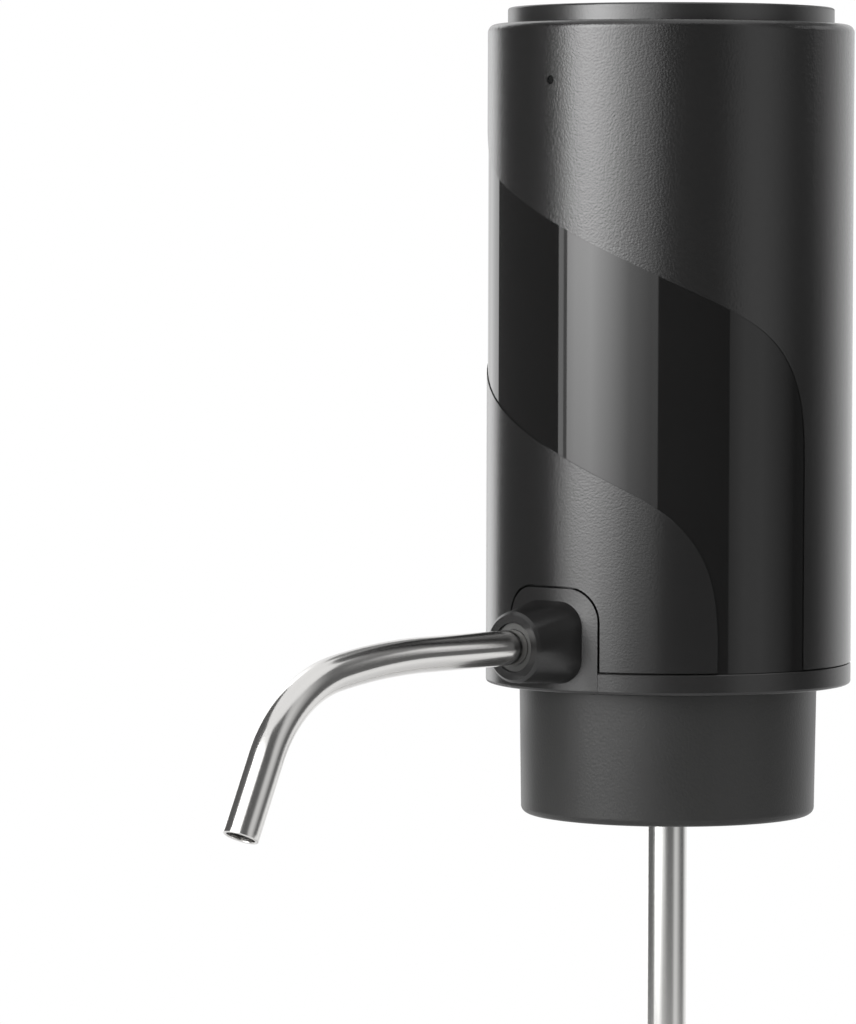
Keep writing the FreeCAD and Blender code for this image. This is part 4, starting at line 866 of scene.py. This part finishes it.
print("floor at", round(FLOOR_LEVEL / MM, 1), "mm")

# %% [markdown]
# Upright cards
#
# A tall soft light at the front left, with dark screens between it and the white, gives the body one long
# highlight, a dark middle and bright rims. Lamps alone would light it, but wouldn't give the screens'
# edges. So the light and the screens are upright curved cards. Each glows by the azimuth on it. Only the
# soft light lights matt surfaces too. The others show by mirroring alone, and none casts a shadow.

# %% the cards' shape and glow
CARD_STEPS = 48


def card_mesh(name, distance, low, high, first, last):
    """Upright curved strip between two heights and two azimuths, given from the camera's side.

    A point lies at the distance times the sine and cosine of its azimuth. Its (u, v) is (share of the
    way from first to last, 0 below and 1 above).
    """
    columns = CARD_STEPS + 1
    azimuths = SHOT_AZIMUTH + np.radians(np.linspace(first, last, columns))
    ring = np.stack([np.sin(azimuths), -np.cos(azimuths)], axis=1) * distance
    points = np.concatenate([np.column_stack([ring, np.full(columns, z)]) for z in (low, high)])
    step = np.arange(CARD_STEPS)
    faces = np.stack([step, step + 1, step + columns + 1, step + columns], axis=1)
    mesh = bpy.data.meshes.new(name)
    mesh.from_pydata(points.tolist(), [], faces.tolist())
    point = np.arange(2 * columns)
    lay_uv(mesh, np.stack([(point % columns) / CARD_STEPS, point // columns], axis=1))
    return mesh


def ramp_of(tree, value, stops):
    """Brightness read from (place, brightness) pairs, with places from 0 to 1 and brightness up to 1."""
    ramp = add_node(tree, "ShaderNodeValToRGB", {0: value})
    marks = ramp.color_ramp.elements
    while len(marks) < len(stops):
        marks.new(0.5)
    for mark, (place, glow) in zip(marks, stops):
        mark.position = place
        mark.color = (glow, glow, glow, 1)
    return ramp.outputs[0]


# %% make a card
def card(name, distance, low, high, stops, rise=None, lights=False):
    """Upright card round the axis, at a distance and between two heights in metres.

    stops are (azimuth in degrees from the camera's side, brightness) pairs from left to right. rise,
    where given, is a list of (height in metres, share of the brightness) pairs from below upwards.
    """
    first, last = stops[0][0], stops[-1][0]
    mesh = card_mesh(name, distance, low, high, first, last)
    material = bpy.data.materials.new(name)
    material.use_nodes = True
    tree = material.node_tree
    tree.nodes.remove(tree.nodes["Principled BSDF"])
    brightest = max(value for _, value in stops)
    spot = add_node(tree, "ShaderNodeUVMap", uv_map="surface").outputs[0]
    side, up, _ = add_node(tree, "ShaderNodeSeparateXYZ", {0: spot}).outputs
    glow_stops = [((azimuth - first) / (last - first), value / brightest) for azimuth, value in stops]
    strength = brightest
    if rise:
        shares = [((z - low) / (high - low), share) for z, share in rise]
        strength = product_of(tree, ramp_of(tree, up, shares), brightest)
    glow = add_node(tree, "ShaderNodeEmission", {
        "Color": ramp_of(tree, side, glow_stops), "Strength": strength})
    tree.links.new(glow.outputs[0], tree.nodes["Material Output"].inputs["Surface"])
    mesh.materials.append(material)
    thing = bpy.data.objects.new(name, mesh)
    scene.collection.objects.link(thing)
    thing.visible_camera = False
    thing.visible_shadow = False
    thing.visible_diffuse = lights
    print(name, "from", first, "to", last, "degrees, brightest", brightest)


# %% [markdown]
# The cards go round from left to right. The left screen gives the bright left rim and the dark stripe
# beside it, the edge light the thin bright line, and the soft light the long highlight, which fades
# towards the foot. The front screen gives the dark middle with a paler stripe in it, and the rim light
# the right rim. The last two stand high at the back, where the spout's level run mirrors them.

# %% cards from left to right
card("left_screen", 1.6, -1.3, 1.9, [
    (-176, 0.8), (-162, 1.1), (-153, 1.7), (-137.5, 1.7), (-137.4, 0.12), (-72, 0.12)])
card("edge_light", 1.55, -0.5, 1.0, [(-73.6, 2.6), (-69.8, 2.6)])
card("soft_light", 1.5, -0.3, 1.1, [
    (-67.2, 7.0), (-61, 8.6), (-50, 9.4), (-38, 6.6), (-25, 3.0), (-12, 1.7), (-7, 1.7)],
    rise=[(-0.3, 0.0), (-0.11, 0.25), (-0.06, 0.48), (0.05, 0.74), (0.18, 1.0)], lights=True)
card("front_screen", 1.6, -1.3, 1.9, [
    (-9, 0.12), (37.9, 0.12), (38, 0.44), (48, 0.72), (60, 0.74), (75, 0.4), (85, 0.12), (104, 0.14),
    (122, 0.70)])
card("rim_light", 1.7, -0.8, 1.0, [(122, 0.75), (135, 1.05), (184, 1.05)])
card("upper_screen", 1.55, 0.85, 2.0, [(100, 0.25), (185, 0.25)])
card("band_light", 1.3, 0.22, 0.8, [(98, 1.0), (122, 1.1)])
